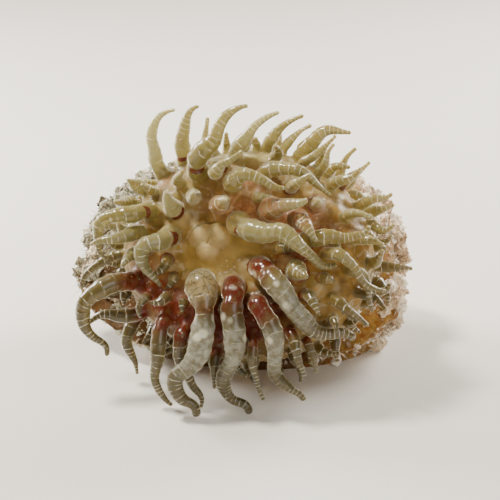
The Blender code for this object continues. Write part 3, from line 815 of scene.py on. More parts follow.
MARKS = ("tube", "share", "ring_count", "ring_pitch", "facing", "seed", "waist", "maroon", "milk", "rosy",
         "net", "band", "lip", "painted_top_light", "seam", "hem", "blaze", "deep", "belly", "painted_column_shade", "warm", "grit",
         "fuzz")


@dataclass(frozen=True)
class Tube:
    """One tentacle's tube of skin: rings round its path, from just above its root to its rounded tip."""

    number: int
    tentacle: Tentacle
    path: np.ndarray
    inward: np.ndarray

    sides: int = 14
    spacing: float = 0.14
    rings_least: int = 18
    rings_most: int = 150
    start_share: float = 0.30
    start_gap: float = 0.10
    fit: float = 0.97
    wobble: float = 0.08
    bend: float = 3.0
    ripple: float = 0.035
    close_pitch: float = 0.42
    extra_pitch: float = 0.74
    pitch_least: float = 0.66
    pitch_growth: float = 0.19
    waist_place: float = 0.175
    dome: float = 0.05
    tip_height: float = 0.02
    map_rows: int = 8
    map_step: float = 0.06
    map_start: float = 0.52
    map_size: tuple[float, float] = (0.055, 0.052)

    cap = np.radians((25.0, 50.0, 75.0))
    turns = np.linspace(0.0, math.tau, sides, endpoint=False)

    @cached_property
    def length(self) -> float:
        """The path's length, in millimetres."""
        return float(np.linalg.norm(np.diff(self.path, axis=0), axis=1).sum())

    @cached_property
    def outline(self) -> Outline:
        """How the radius runs along it."""
        return OUTLINES[self.tentacle.look]

    @cached_property
    def tip(self) -> float:
        """The tip's radius, in millimetres."""
        return float(self.fit * self.tentacle.radius(np.array(1.0), self.outline))

    @cached_property
    def places(self) -> np.ndarray:
        """Where its rings lie, from 0 at the root to 1 at the tip."""
        start = (self.start_share * self.tentacle.base(self.outline) + self.start_gap) / self.length
        count = int(np.clip(self.length / self.spacing, self.rings_least, self.rings_most))
        tip = self.tip / self.length
        return np.append(np.linspace(start, 1.0 - tip, count), 1.0 - tip * (1.0 - np.sin(self.cap)))

    @cached_property
    def pitch(self) -> np.ndarray:
        """How far apart the pale lines round it are, in millimetres: close at the tip, wider at the root."""
        pitch = self.close_pitch + self.extra_pitch * (1.0 - ease(self.places, 0.10, 0.80))
        return pitch * (self.pitch_least + self.pitch_growth * self.tentacle.thickness)

    @cached_property
    def count(self) -> np.ndarray:
        """How many pale lines there are up to each ring."""
        steps = np.diff(self.places) * self.length / (0.5 * (self.pitch[1:] + self.pitch[:-1]))
        return np.append(0.0, np.cumsum(steps)) + (self.number * 0.37) % 1.0

    @cached_property
    def radii(self) -> np.ndarray:
        """Each ring's radius, rippled between the pale lines and slowly wobbling."""
        radii = self.fit * self.tentacle.radius(self.places, self.outline)
        radii *= 1.0 + self.ripple * ease(self.pitch, 0.35, 0.6) * np.cos(math.tau * self.count)
        radii *= 1.0 + self.wobble * ease(self.places, 0.2, 0.5) * np.sin(
            1.3 * (self.places * self.length) + self.number)
        radii[-len(self.cap):] = self.tip * np.cos(self.cap)
        return radii

    def centres(self) -> np.ndarray:
        """Each ring's middle, bent a little off the path."""
        starts = [(self.number * 3.1, start, 0.0) for start in (0.0, 31.0, 62.0)]
        centres = smooth_rows(self.path, self.places)
        bends = np.array([[soft_noise(centre, 0.45, start) for start in starts] for centre in centres])
        amount = self.wobble * self.bend * ease(self.places * self.length, 0.8, 3.0)
        return centres + amount[:, None] * bends

    def ways(self) -> np.ndarray:
        """The direction that the path takes at each ring."""
        either_side = np.clip(self.places[:, None] + (-0.004, 0.004), 0.0, 1.0)
        return unit(np.gradient(smooth_rows(self.path, either_side), axis=1)[:, 0])

    def points(self) -> np.ndarray:
        """The points of each ring and, last, the tip's own, none of them under the floor."""
        centres, ways = self.centres(), self.ways()
        side = unit(self.inward - (self.inward @ ways[0]) * ways[0])
        cosines, sines = np.cos(self.turns)[:, None], np.sin(self.turns)[:, None]
        rings = []
        for centre, size, way in zip(centres, self.radii, ways):
            side = unit(side - (side @ way) * way)
            rings.append(centre + size * (cosines * side + sines * np.cross(way, side)))
        points = np.vstack(rings + [centres[-1:] + self.dome * self.tip * ways[-1:]])
        points[:, 2] = np.maximum(points[:, 2], 0.0)
        points[-1, 2] = max(points[-1, 2], self.tip_height)
        return points

    def unwrap(self) -> np.ndarray:
        """Its places on the flat map, in a small patch of its own."""
        column, row = divmod(self.number, self.map_rows)
        wide, tall = self.map_size
        across = np.tile(self.turns / math.tau, len(self.places)) * wide + self.map_step * column
        upward = np.repeat(self.places, self.sides) * tall + self.map_start + self.map_step * row
        flat = np.stack([across, upward], axis=-1)
        return np.vstack([flat, flat[-1:]])

    def faces(self, first: int) -> list[tuple[int, ...]]:
        """Join its points.

        Args:
            first: The number of its first point.

        Returns:
            Its faces, up to the closed tip.
        """
        faces, last = [], len(self.places) - 1
        for ring in range(last + 1):
            here, ahead = first + ring * self.sides, first + (ring + 1) * self.sides
            for turn in range(self.sides):
                following = (turn + 1) % self.sides
                beyond = (ahead + following, ahead + turn) if ring < last else (ahead,)
                faces.append((here + turn, here + following) + beyond)
        return faces

    def marks(self, points: np.ndarray) -> dict[str, np.ndarray]:
        """Lay its marks on its points.

        Args:
            points: Its points.

        Returns:
            Marks by name.
        """
        rings = {"tube": ease(self.places, 0.02, 0.09), "share": self.places, "ring_count": self.count,
                 "ring_pitch": self.pitch, "waist": (self.places - self.waist_place) * self.length,
                 # A painted highlight: a pale rim where the tube leaves the body.
                 "hem": 1.0 - ease(self.places * self.length, 0.05, 0.3), **self.colours()}
        marks = {name: np.append(np.repeat(mark, self.sides), mark[-1]) for name, mark in rings.items()}
        marks["facing"] = np.append(np.tile(np.cos(self.turns), len(self.places)), 0.0)
        marks["seed"] = (self.number * 0.618) % 1.0
        marks["warm"] = np.append(ease(points[:-1, 0], 0.0, 9.0), 0.0)
        # Painted shade: the tubes darken the lower they hang.
        marks["deep"] = np.append(ease(points[:-1, 2], 20.0, 9.0), 1.0)
        return marks

    def colours(self) -> dict[str, np.ndarray]:
        """Its own colours, ring by ring, by the marks that carry them."""
        look, places = self.tentacle.look, self.places
        none = np.zeros_like(places)
        milky = look in (MILKY, NETTED)
        milk = ease(places, 0.26, 0.38) * (1.0 - ease(places, 0.52, 0.72))
        bulb = 1.0 - ease(places, 0.18, 0.25)
        maroon = {STAINED: 1.0 - ease(places, 0.10, 0.30), MILKY: 1.0 - ease(places, 0.14, 0.34),
                  NETTED: 0.5 * ease(places, 0.18, 0.22) * (1.0 - ease(places, 0.25, 0.30))}
        return {
            "maroon": maroon.get(look, none),
            "milk": {MILKY: 0.72 * milk, NETTED: milk}.get(look, none),
            "rosy": 1.0 - ease(places, 0.35, 0.9) if look is ROSY else none,
            "net": bulb if look is NETTED else none,
            "lip": 0.8 * bulb if look is NETTED else none,
            "band": np.full_like(places, look is BANDED),
            "blaze": (milk + ease(places, 0.11, 0.14)) * (1.0 - ease(places, 0.38, 0.48)) if milky else none,
        }


@dataclass
class Skin:
    """The one skin: the body's rows with a hole at each root, and a tube grown out of each hole."""

    body: Body
    tentacles: Sequence[Tentacle]
    rows: int = field(init=False, default=0)
    around: int = field(init=False, default=0)
    points: np.ndarray = field(init=False, default_factory=lambda: np.zeros((0, 3)))
    unwrap: np.ndarray = field(init=False, default_factory=lambda: np.zeros((0, 2)))
    faces: list[tuple[int, ...]] = field(init=False, default_factory=list)
    marks: dict[str, np.ndarray] = field(init=False, default_factory=dict)
    root_gap: float = 0.28
    alone: float = 99.0
    hole_size: float = 1.15
    hole_margin: float = 0.15
    hole_depth: float = 2.5
    blend_from: float = 1.2
    blend_to: float = 1.9
    body_freedom: float = 0.5
    edge_freedom: float = 0.6
    ring_freedoms: tuple[float, float] = (0.5, 0.25)
    relax_rounds: int = 8

    def add_points(self, points: np.ndarray, unwrap: np.ndarray, marks: dict[str, np.ndarray]) -> int:
        """Add points with their marks.

        Args:
            points: The points, in millimetres.
            unwrap: Their places on the flat map.
            marks: Their marks by name; one that is missing is 0.

        Returns:
            The number of the first new point.
        """
        first = len(self.points)
        self.points = np.vstack([self.points, points])
        self.unwrap = np.vstack([self.unwrap, unwrap])
        for name in MARKS:
            new = np.broadcast_to(marks.get(name, 0.0), len(points))
            self.marks[name] = np.append(self.marks.get(name, np.zeros(0)), new)
        return first

    def lay_body(self) -> None:
        """Lay the body's points and, after them, the two that close its ends."""
        rows, places, seams = self.body.lay()
        self.rows, self.around = rows.shape[:2]
        clock = np.broadcast_to(np.linspace(0.0, math.tau, self.around, endpoint=False), seams.shape)
        place = np.broadcast_to(places[:, None], seams.shape)
        marks = {**self.flesh_marks(rows, clock, place), **self.column_marks(rows, place), "seam": seams}
        flat = np.stack([clock / math.tau, 0.5 * place / Zone.END], axis=-1)
        self.add_points(rows.reshape(-1, 3), flat.reshape(-1, 2),
                        {name: mark.reshape(-1) for name, mark in marks.items()})
        ends = np.array([rows[0].mean(axis=0), rows[-1].mean(axis=0)])
        self.add_points(ends, np.array([[0.5, 0.0], [0.5, 0.5]]), {})

    def flesh_marks(self, rows: np.ndarray, clock: np.ndarray, place: np.ndarray) -> dict[str, np.ndarray]:
        """Lay the marks of the mouth, the disc and the collar.

        Args:
            rows: The body's rows of points.
            clock: Each point's turn round the body.
            place: Each point's zone number.

        Returns:
            Marks by name.
        """
        side, height = rows[..., 0], rows[..., 2]
        flesh = 1.0 - ease(place, *Zone.BELLY)
        on_collar = ease(place, 2.0, 2.1) * (1.0 - ease(place, 2.95, 3.2))
        along = np.clip(place - Zone.COLLAR, 0.0, 1.0)
        maroon, rosy = (on_collar * sum(patch.amount(clock, along) for patch in patches)
                        for patches in (MAROON_BLUSHES, ROSY_BLUSHES))
        pink, pale = (ease(Swelling.lifts(swellings, self.body.collar, rows).sum(axis=0), 0.1, 0.5)
                      for swellings in (ROSY_SWELLINGS, SWELLINGS))
        lips = ease(Swelling.lifts(LIP_LOBES, self.body.collar, rows).max(axis=0), 0.05, 0.45)
        return {
            "maroon": maroon,
            "rosy": rosy + (place < 2.7) * pink,
            "lip": lips * (place < 2.3) + 0.6 * (place < 2.5) * pale,
            # Painted light: the collar turns paler towards its top.
            "painted_top_light": flesh * ease(height, 17.0, 23.0),
            # Painted shade: the collar darkens low down, most of all on its left.
            "deep": flesh * ease(height, 14.0, 8.0) * (0.3 + 0.7 * ease(side, 3.0, -4.0)),
            "warm": ease(side, 0.0, 9.0),
        }

    def column_marks(self, rows: np.ndarray, place: np.ndarray) -> dict[str, np.ndarray]:
        """Lay the marks of the column: its painted shade, and how much grit and wool sticks to it.

        Args:
            rows: The body's rows of points.
            place: Each point's zone number.

        Returns:
            Marks by name.
        """
        side, height = rows[..., 0], rows[..., 2]
        belly = ease(place, *Zone.BELLY)
        lit = ease(height, 4.0, 13.0)
        clumps = np.zeros(place.shape)
        for row in np.flatnonzero(place[:, 0] > 2.7):
            clumps[row] = [ease(soft_noise(point, 0.33) + 0.5 * soft_noise(point, 0.9), -0.22, 0.30)
                           for point in rows[row]]
        # Painted shade low on the column's front.
        low = 0.9 * (1.0 - ease(height, 4.0, 11.0)) * ease(side, 10.0, 3.0)
        right = 0.4 * ease(side, 12.0, 15.0) + 1.3 * ease(side, 7.0, 13.0) * lit
        base = 0.5 * ease(place, 3.6, 3.8) * ease(side, -5.0, 3.0)
        left = ease(side, -5.0, -13.0) * (0.1 + 0.9 * ease(height, 7.0, 15.0))
        return {
            "belly": belly,
            # Painted shade: the column darkens on its left side and low at its front.
            "painted_column_shade": belly * np.maximum(ease(side, -3.0, -11.0), low),
            "grit": belly * (0.1 + 0.9 * clumps) * (right + 0.25 * lit + 0.05 + base) * (place < 3.97),
            "fuzz": (belly * (0.25 + 0.75 * clumps) * (left + 0.15 * lit * ease(side, 9.0, 0.0))
                     * (place < 3.9)),
        }

    def body_faces(self, removed: set[tuple[int, int]]) -> None:
        """Add the body's faces, less those that the holes remove."""
        last, ends = (self.rows - 1) * self.around, self.rows * self.around
        self.faces += [self.corners(row, side) for row in range(self.rows - 1) for side in range(self.around)
                       if (row, side) not in removed]
        for side in range(self.around):
            following = (side + 1) % self.around
            self.faces.append((ends, following, side))
            self.faces.append((ends + 1, last + side, last + following))

    def corners(self, row: int, side: int) -> tuple[int, int, int, int]:
        """The four points of one face of the body."""
        following = (side + 1) % self.around
        here, below = row * self.around, (row + 1) * self.around
        return here + side, here + following, below + following, below + side

    def open_hole(self, root: np.ndarray, frame: np.ndarray, radius: float) -> tuple[list[int], set]:
        """Open a round hole in the body.

        Args:
            root: The hole's middle.
            frame: Two directions along the surface, and the outward one.
            radius: The hole's radius.

        Returns:
            The points round the hole in order, and the faces that are gone.
        """
        offset = (self.points[:self.rows * self.around] - root) @ frame.T
        inside = (np.hypot(offset[:, 0], offset[:, 1]) < max(radius - self.hole_margin, 0.5 * radius)) & (
            np.abs(offset[:, 2]) < self.hole_depth)
        removed = {(row - back, (side - left) % self.around)
                   for row, side in zip(*np.divmod(np.flatnonzero(inside), self.around))
                   for back in (0, 1) for left in (0, 1)}
        edges = set()
        for face in removed:
            corners = self.corners(*face)
            edges.update(zip(corners, corners[1:] + corners[:1]))
        onward = {start: end for start, end in edges if (end, start) not in edges}
        first = min(onward)
        loop = [first]
        while onward[loop[-1]] != first:
            loop.append(onward[loop[-1]])
        if len(loop) != len(onward):
            raise ValueError("a hole's edge crosses itself")
        turns = np.unwrap(np.arctan2(offset[loop, 1], offset[loop, 0]))
        if turns[-1] < turns[0]:
            loop = loop[::-1]
        ring = offset[loop]
        stretch = radius / np.hypot(ring[:, 0], ring[:, 1])
        ring = ring * np.stack([stretch, stretch, stretch ** 2], axis=-1)
        self.points[loop] = root + ring @ frame
        return loop, removed

    def join(self, outer: list[int], inner: list[int], frame: np.ndarray) -> None:
        """Close the gap between a hole's edge and a tube's first ring.

        Args:
            outer: Points of the hole's edge, in order of turn.
            inner: Points of the ring, in order of turn.
            frame: Two directions along the surface, and the outward one.
        """
        def turns(loop: list[int]) -> np.ndarray:
            """Turns of a loop's points, always rising."""
            offset = (self.points[loop] - self.points[loop].mean(axis=0)) @ frame.T
            rising = np.maximum.accumulate(np.unwrap(np.arctan2(offset[:, 1], offset[:, 0])))
            return np.append(rising, rising[0] + math.tau)

        outer_turns, inner_turns = turns(outer), turns(inner)
        shift = int(np.abs((inner_turns[:-1] - outer_turns[0] + math.pi) % math.tau - math.pi).argmin())
        inner = inner[shift:] + inner[:shift]
        inner_turns = turns(inner)
        inner_turns += math.tau * round((outer_turns[0] - inner_turns[0]) / math.tau)
        here = there = 0
        while here < len(outer) or there < len(inner):
            step_outer = there >= len(inner) or (here < len(outer)
                                                 and outer_turns[here + 1] <= inner_turns[there + 1])
            if step_outer:
                self.faces.append((outer[here], outer[(here + 1) % len(outer)], inner[there % len(inner)]))
                here += 1
            else:
                self.faces.append((outer[here % len(outer)], inner[(there + 1) % len(inner)], inner[there]))
                there += 1

    def relax(self, loose: dict[int, float]) -> None:
        """Smooth the joins between the tubes and the body.

        Args:
            loose: How freely each point may move, by its number.
        """
        touched = [face for face in self.faces if any(each in loose for each in face)]
        pairs = np.array(sorted({tuple(sorted(pair)) for face in touched
                                 for pair in zip(face, face[1:] + face[:1])}))
        number = np.array(sorted(loose))
        freedom = np.array([loose[each] for each in number])[:, None]
        many = np.bincount(pairs.reshape(-1), minlength=len(self.points))
        for _ in range(self.relax_rounds):
            total = np.zeros_like(self.points)
            np.add.at(total, pairs[:, 0], self.points[pairs[:, 1]])
            np.add.at(total, pairs[:, 1], self.points[pairs[:, 0]])
            mean = total[number] / many[number][:, None]
            self.points[number] += freedom * (mean - self.points[number])

    def build(self, paths: np.ndarray) -> bpy.types.Object:
        """Build the whole skin.

        Args:
            paths: The tentacles' settled paths.

        Returns:
            The skin's object, in metres.
        """
        self.lay_body()
        collar, sides = self.body.collar, Tube.sides
        spans = np.linalg.norm(paths[:, None, 0] - paths[None, :, 0], axis=-1)
        spans += self.alone * np.eye(len(paths))
        bases = np.array([each.base() for each in self.tentacles])
        room = ((spans - self.root_gap) * bases[:, None] / (bases[:, None] + bases[None])).min(axis=1)
        removed, joins, loose = set(), [], {}
        grid = self.points[:self.rows * self.around].copy()
        for number, (tentacle, path) in enumerate(zip(self.tentacles, paths)):
            root = path[0]
            outward = surface_normal(collar.point, tentacle.along, math.radians(tentacle.clock))
            inward = collar.disc_middle() - root
            across = unit(inward - (inward @ outward) * outward)
            frame = np.stack([across, np.cross(outward, across), outward])
            tube = Tube(number, tentacle, path, inward)
            points, radius = tube.points(), float(tube.radii[0])
            first = self.add_points(points, tube.unwrap(), tube.marks(points))
            self.faces += tube.faces(first)
            loop, gone = self.open_hole(root, frame, min(self.hole_size * radius, float(room[number])))
            removed |= gone
            joins.append((loop, list(range(first, first + sides)), frame))
            near = np.linalg.norm(grid - root, axis=1) / radius
            for each in np.flatnonzero(near < self.blend_to):
                freedom = self.body_freedom * float(1.0 - ease(near[each], self.blend_from, self.blend_to))
                loose[int(each)] = max(loose.get(int(each), 0.0), freedom)
            loose.update(dict.fromkeys(loop, self.edge_freedom))
            for start, freedom in zip((first, first + sides), self.ring_freedoms):
                loose.update(dict.fromkeys(range(start, start + sides), freedom))
        self.body_faces(removed)
        for loop, ring, frame in joins:
            self.join(loop, ring, frame)
        used = {each for face in self.faces for each in face}
        self.relax({each: freedom for each, freedom in loose.items() if each in used})
        return self.to_object()

    def to_object(self) -> bpy.types.Object:
        """Turn the points and faces into a closed, smooth object with its marks."""
        mesh = bpy.data.meshes.new("skin")
        mesh.from_pydata((self.points * MM).tolist(), [], self.faces)
        for name in MARKS:
            layer = mesh.attributes.new(name, "FLOAT", "POINT")
            layer.data.foreach_set("value", self.marks[name].astype(np.float32))
        corners = np.zeros(len(mesh.loops), dtype=np.int32)
        mesh.loops.foreach_get("vertex_index", corners)
        flat, start = self.unwrap[corners], 0
        for face in self.faces:
            across = flat[start:start + len(face), 0]
            if across.max() - across.min() > 0.5 and min(face) < self.rows * self.around:
                across[across < 0.5] += 1.0
            start += len(face)
        layer = mesh.uv_layers.new(name="unwrap")
        layer.data.foreach_set("uv", flat.astype(np.float32).reshape(-1))
        shape = bmesh.new()
        shape.from_mesh(mesh)
        spare = [vertex for vertex in shape.verts if not vertex.link_faces]
        bmesh.ops.delete(shape, geom=spare, context="VERTS")
        bmesh.ops.recalc_face_normals(shape, faces=shape.faces)
        open_edges = sum(1 for edge in shape.edges if len(edge.link_faces) != 2)
        shape.to_mesh(mesh)
        shape.free()
        mesh.shade_smooth()
        LOG.info("skin: %d triangles, %d edges that don't close",
                 sum(len(face.vertices) - 2 for face in mesh.polygons), open_edges)
        return put_in_scene("skin", mesh)


def paint(red: float, green: float, blue: float) -> tuple[float, float, float, float]:
    """Turn a screen colour, from 0 to 255, into a linear one."""
    parts = [value / 255.0 for value in (red, green, blue)]
    return (*(part / 12.92 if part <= 0.04045 else ((part + 0.055) / 1.055) ** 2.4 for part in parts), 1.0)


class Wire:
    """A socket that takes part in sums on a board."""

    def __init__(self, board: Board, socket: bpy.types.NodeSocket) -> None:
        """Keep the board and the socket."""
        self.board = board
        self.socket = socket

    def sum(self, operation: str, *others: Wire | float, first: Wire | float | None = None) -> Wire:
        """Add a Math node of this wire and others, or of one that comes first and this wire."""
        values = (self, *others) if first is None else (first, self)
        return self.board.wire("ShaderNodeMath", {"operation": operation}, dict(enumerate(values)))

    def __add__(self, other: Wire | float) -> Wire:
        """Add."""
        return self.sum("ADD", other)

    __radd__ = __add__

    def __sub__(self, other: Wire | float) -> Wire:
        """Take away."""
        return self.sum("SUBTRACT", other)

    def __rsub__(self, other: float) -> Wire:
        """Take this away from a number."""
        return self.sum("SUBTRACT", first=other)

    def __mul__(self, other: Wire | float) -> Wire:
        """Multiply."""
        return self.sum("MULTIPLY", other)

    __rmul__ = __mul__

    def __truediv__(self, other: Wire | float) -> Wire:
        """Divide."""
        return self.sum("DIVIDE", other)

    def __abs__(self) -> Wire:
        """Drop the sign."""
        return self.sum("ABSOLUTE")

    def most(self, other: Wire | float) -> Wire:
        """The larger of two."""
        return self.sum("MAXIMUM", other)

    def held(self) -> Wire:
        """Hold between 0 and 1."""
        return self.sum("MAXIMUM", 0.0).sum("MINIMUM", 1.0)

    def rise(self, low: float, high: float) -> Wire:
        """Rise smoothly from 0 at low to 1 at high, or fall where high is less than low."""
        falls = high < low
        ends = (high, low) if falls else (low, high)
        out = self.board.wire("ShaderNodeMapRange", {"interpolation_type": "SMOOTHSTEP"},
                              {"Value": self, "From Min": ends[0], "From Max": ends[1]})
        return 1.0 - out if falls else out


class Board:
    """A node tree being wired."""

    def __init__(self, tree: bpy.types.NodeTree) -> None:
        """Start from an empty tree."""
        self.tree = tree
        tree.nodes.clear()

    def node(self, kind: str, settings: dict | None = None, sockets: dict | None = None) -> bpy.types.Node:
        """Add a node.

        Args:
            kind: The node's type.
            settings: What is set on the node itself.
            sockets: Values, wires or sockets for its inputs, by name or number.

        Returns:
            The node.
        """
        made = self.tree.nodes.new(kind)
        for name, value in (settings or {}).items():
            setattr(made, name, value)
        for key, value in (sockets or {}).items():
            if isinstance(value, Wire):
                value = value.socket
            if isinstance(value, bpy.types.NodeSocket):
                self.tree.links.new(value, made.inputs[key])
            else:
                made.inputs[key].default_value = value
        return made

    def wire(self, kind: str, settings: dict | None = None, sockets: dict | None = None,
             output: int | str = 0) -> Wire:
        """Add a node and take one of its outputs."""
        return Wire(self, self.node(kind, settings, sockets).outputs[output])

    def vector(self, operation: str, *values: Wire | tuple) -> Wire:
        """Add a Vector Math node."""
        return self.wire("ShaderNodeVectorMath", {"operation": operation}, dict(enumerate(values)))

    def scaled(self, vector: Wire, amount: Wire | float) -> Wire:
        """Stretch a vector by an amount."""
        return self.wire("ShaderNodeVectorMath", {"operation": "SCALE"}, {0: vector, "Scale": amount})


class PaintBoard(Board):
    """A board that paints a material over a piece's own coordinates."""

    @cached_property
    def place(self) -> Wire:
        """The piece's own coordinates, in millimetres."""
        return self.scaled(self.wire("ShaderNodeTexCoord", output="Object"), 1.0 / MM)

    def mark(self, name: str) -> Wire:
        """One of the piece's marks."""
        return self.wire("ShaderNodeAttribute", {"attribute_name": name}, output="Fac")

    def noise(self, scale: float, detail: float = 2.0, roughness: float = 0.5) -> Wire:
        """Soft noise from 0 to 1."""
        return self.wire("ShaderNodeTexNoise", {}, {"Vector": self.place, "Scale": scale, "Detail": detail,
                                                    "Roughness": roughness}, "Fac")

    def cells(self, place: Wire, scale: float, feature: str = "F1") -> Wire:
        """Distance to the nearest of scattered points, or to the edge between them."""
        return self.wire("ShaderNodeTexVoronoi", {"feature": feature}, {"Vector": place, "Scale": scale},
                         "Distance")

    def spots(self, scale: float, edge: float, middle: float) -> Wire:
        """Scattered spots: 0 from the edge outwards, and 1 from the middle inwards."""
        return self.cells(self.place, scale).rise(edge, middle)

    def net(self, scale: float, width: float, bend: float, bend_scale: float) -> Wire:
        """The lines of a net of cells, bent by noise."""
        push = self.wire("ShaderNodeTexNoise", {}, {"Vector": self.place, "Scale": bend_scale, "Detail": 1.0},
                         "Color")
        bent = self.vector("ADD", self.place, self.scaled(push, bend))
        return self.cells(bent, scale, "DISTANCE_TO_EDGE").rise(width, 0.02)

    def mix(self, factor: Wire | float, below: Wire | tuple, above: Wire | tuple) -> Wire:
        """Lay one colour over another by a factor."""
        return self.wire("ShaderNodeMix", {"data_type": "RGBA", "blend_type": "MIX"},
                         {0: factor, 6: below, 7: above}, 2)


class FleshBoard(PaintBoard):
    """A board with the marks and the noises that several layers of the flesh share."""

    def __init__(self, tree: bpy.types.NodeTree) -> None:
        """Add them to an empty tree."""
        super().__init__(tree)
        self.mid, self.fine = self.noise(1.6, 3.0), self.noise(7.0, 3.0, 0.6)
        self.folds = self.noise(2.4, 2.0, 0.6)
        self.tube, self.share, self.facing, self.belly, self.seam, self.milk, self.deep = map(
            self.mark, ("tube", "share", "facing", "belly", "seam", "milk", "deep"))
        self.bare = 1.0 - self.belly
        self.maroon = (self.mark("maroon") * (0.5 + 0.6 * self.mid.rise(0.3, 0.6))).held()


@dataclass(frozen=True)
class FleshFinish:
    """The wet, translucent flesh: olive, with pale rings, maroon and pink-brown stains and a rough belly,
    with painted shade, painted light on the collar's top and painted rim highlights.

    Each method after material() lays one or more layers of colour. It takes the board and the colour below,
    and returns the colour with its layers on top.
    """

    olive: tuple = paint(156, 142, 76)
    sage: tuple = paint(186, 178, 120)
    shaded_olive: tuple = paint(74, 60, 26)
    bark_mottle_and_shade: tuple = paint(100, 74, 32)
    straw: tuple = paint(186, 160, 88)
    shade: tuple = paint(132, 104, 46)
    gold: tuple = paint(186, 142, 62)
    cream_and_rim_light: tuple = paint(250, 244, 214)
    maroon: tuple = paint(112, 26, 6)
    crimson: tuple = paint(112, 32, 14)
    rosy: tuple = paint(182, 126, 88)
    rust: tuple = paint(140, 78, 46)
    milk: tuple = paint(236, 236, 220)
    clear: tuple = paint(118, 106, 66)
    belly: tuple = paint(158, 96, 36)
    umber_net_and_shade: tuple = paint(60, 38, 16)
    crust: tuple = paint(206, 188, 162)
    lip: tuple = paint(206, 186, 136)
    sheen: tuple = paint(255, 250, 224)

    def material(self) -> bpy.types.Material:
        """Make the material."""
        made = bpy.data.materials.new("anemone_flesh")
        made.use_nodes = True
        board = FleshBoard(made.node_tree)
        colour = self.ground(board)
        for layer in (self.stains, self.milky, self.mouth, self.column, self.rings, self.crescents,
                      self.speckles):
            colour = layer(board, colour)
        tube, belly = board.tube, board.belly
        height = board.fine * belly + board.mid * (1.3 - 1.2 * tube) + self.ring_lines(board) * tube * 0.6
        bump = board.wire("ShaderNodeBump", {}, {"Strength": 0.5, "Distance": 0.00012, "Height": height})
        rim = board.wire("ShaderNodeLayerWeight", {}, {"Blend": 0.5}, "Facing").rise(0.55, 0.95)
        shader = board.node("ShaderNodeBsdfPrincipled", {}, {
            "Base Color": colour, "Roughness": 0.46 + 0.28 * belly - 0.14 * tube, "Normal": bump,
            "Transmission Weight": 0.49, "IOR": 1.25,
            "Coat Weight": board.bare * (0.05 + tube * (0.25 + 0.7 * rim)), "Coat Roughness": 0.06,
            "Coat IOR": 1.9,
            "Subsurface Weight": 0.5, "Subsurface Radius": (1.0, 0.7, 0.35), "Subsurface Scale": 0.0008,
            "Sheen Weight": 1.0, "Sheen Roughness": 0.28, "Sheen Tint": self.sheen})
        board.node("ShaderNodeOutputMaterial", {}, {"Surface": shader.outputs[0]})
        return made

    def ground(self, board: FleshBoard) -> Wire:
        """Lay the collar's straw and the tentacles' olive, with painted shade lower down and in the blisters'
        creases, painted light on the collar's top, and warmer at the right.
        """
        colour = board.mix(board.noise(0.35).rise(0.35, 0.65), self.straw, self.shade)
        # Painted shade low down on the collar.
        colour = board.mix(board.deep * (0.3 + 0.5 * board.mid), colour, self.bark_mottle_and_shade)
        # Painted light on the collar's top.
        colour = board.mix(board.mark("painted_top_light") * (0.35 + 0.5 * board.mid), colour, self.sage)
        # Painted shade in the creases between the blisters.
        colour = board.mix(board.seam.rise(0.3, 0.9) * 0.35, colour, self.shade)
        tint = board.mix(board.mark("seed"), self.sage, self.olive)
        # Painted shade: the tentacles darken to olive-brown the lower they hang.
        tint = board.mix(board.deep * 0.85, tint, self.shaded_olive)
        colour = board.mix(board.tube * (0.75 + 0.25 * board.share), colour, tint)
        warm = board.mark("warm") * board.mid.rise(0.3, 0.7) * (0.6 - 0.4 * board.tube)
        return board.mix(warm, colour, self.gold)

    def stains(self, board: FleshBoard, colour: Wire) -> Wire:
        """Lay the pink-brown, with rusty spots on it, and the maroon."""
        rosy = (board.mark("rosy") * (0.45 + 0.55 * board.mid.rise(0.35, 0.55))).held()
        colour = board.mix(rosy, colour, self.rosy)
        colour = board.mix(rosy * board.noise(4.5, 2.0, 0.6).rise(0.5, 0.62) * 0.7, colour, self.rust)
        return board.mix(board.maroon * 0.94, colour, self.maroon)

    def milky(self, board: FleshBoard, colour: Wire) -> Wire:
        """Lay the milk inside the clear stretches, most of it on the side away from the disc."""
        colour = board.mix(board.milk * 0.8, colour, self.clear)
        front = (board.facing * -1.0).rise(-0.1, 1.0)
        clouds = 0.15 + 0.4 * board.mid.rise(0.35, 0.65) + 0.5 * front * board.folds.rise(0.3, 0.6)
        return board.mix(board.milk * clouds, colour, self.milk)

    def mouth(self, board: FleshBoard, colour: Wire) -> Wire:
        """Lay the pale lips and swellings, the netted bulb, and painted highlights: cream rim lines round
        roots and blisters.
        """
        colour = board.mix(board.mark("lip") * (0.5 + 0.4 * board.mid), colour, self.lip)
        mottle = (board.net(1.5, 0.16, 0.8, 0.9) * board.folds.rise(0.3, 0.6)).most(
            board.folds.rise(0.55, 0.75) * 0.7)
        colour = board.mix(board.mark("net") * mottle * 0.75, colour, self.umber_net_and_shade)
        arcs = board.noise(0.8, 1.0).rise(0.35, 0.6) * board.bare
        # Painted highlights: cream rims round the roots and along the blisters' seams, broken into arcs.
        lines = board.mark("hem") * 0.4 + board.seam.rise(0.84, 0.97) * 0.3
        return board.mix(lines * arcs * (1.0 - 0.8 * board.maroon), colour, self.cream_and_rim_light)

    def column(self, board: FleshBoard, colour: Wire) -> Wire:
        """Lay the column's orange-brown, with painted shade on its left side and low at its front, and pale
        crust in patches.
        """
        skin = board.mix(board.mid.rise(0.3, 0.65), self.belly, self.gold)
        skin = board.mix(board.noise(1.1, 3.0, 0.6).rise(0.48, 0.68) * 0.5, skin, self.bark_mottle_and_shade)
        # Painted shade on the column's left and low at its front.
        skin = board.mix(board.mark("painted_column_shade") * (0.55 + 0.45 * board.mid), skin, self.umber_net_and_shade)
        crust = (board.mark("grit") * 0.8 + board.mark("fuzz") * 0.5) * board.fine.rise(0.42, 0.6)
        skin = board.mix(crust.held() * 0.75, skin, self.crust)
        return board.mix(board.belly, colour, skin)

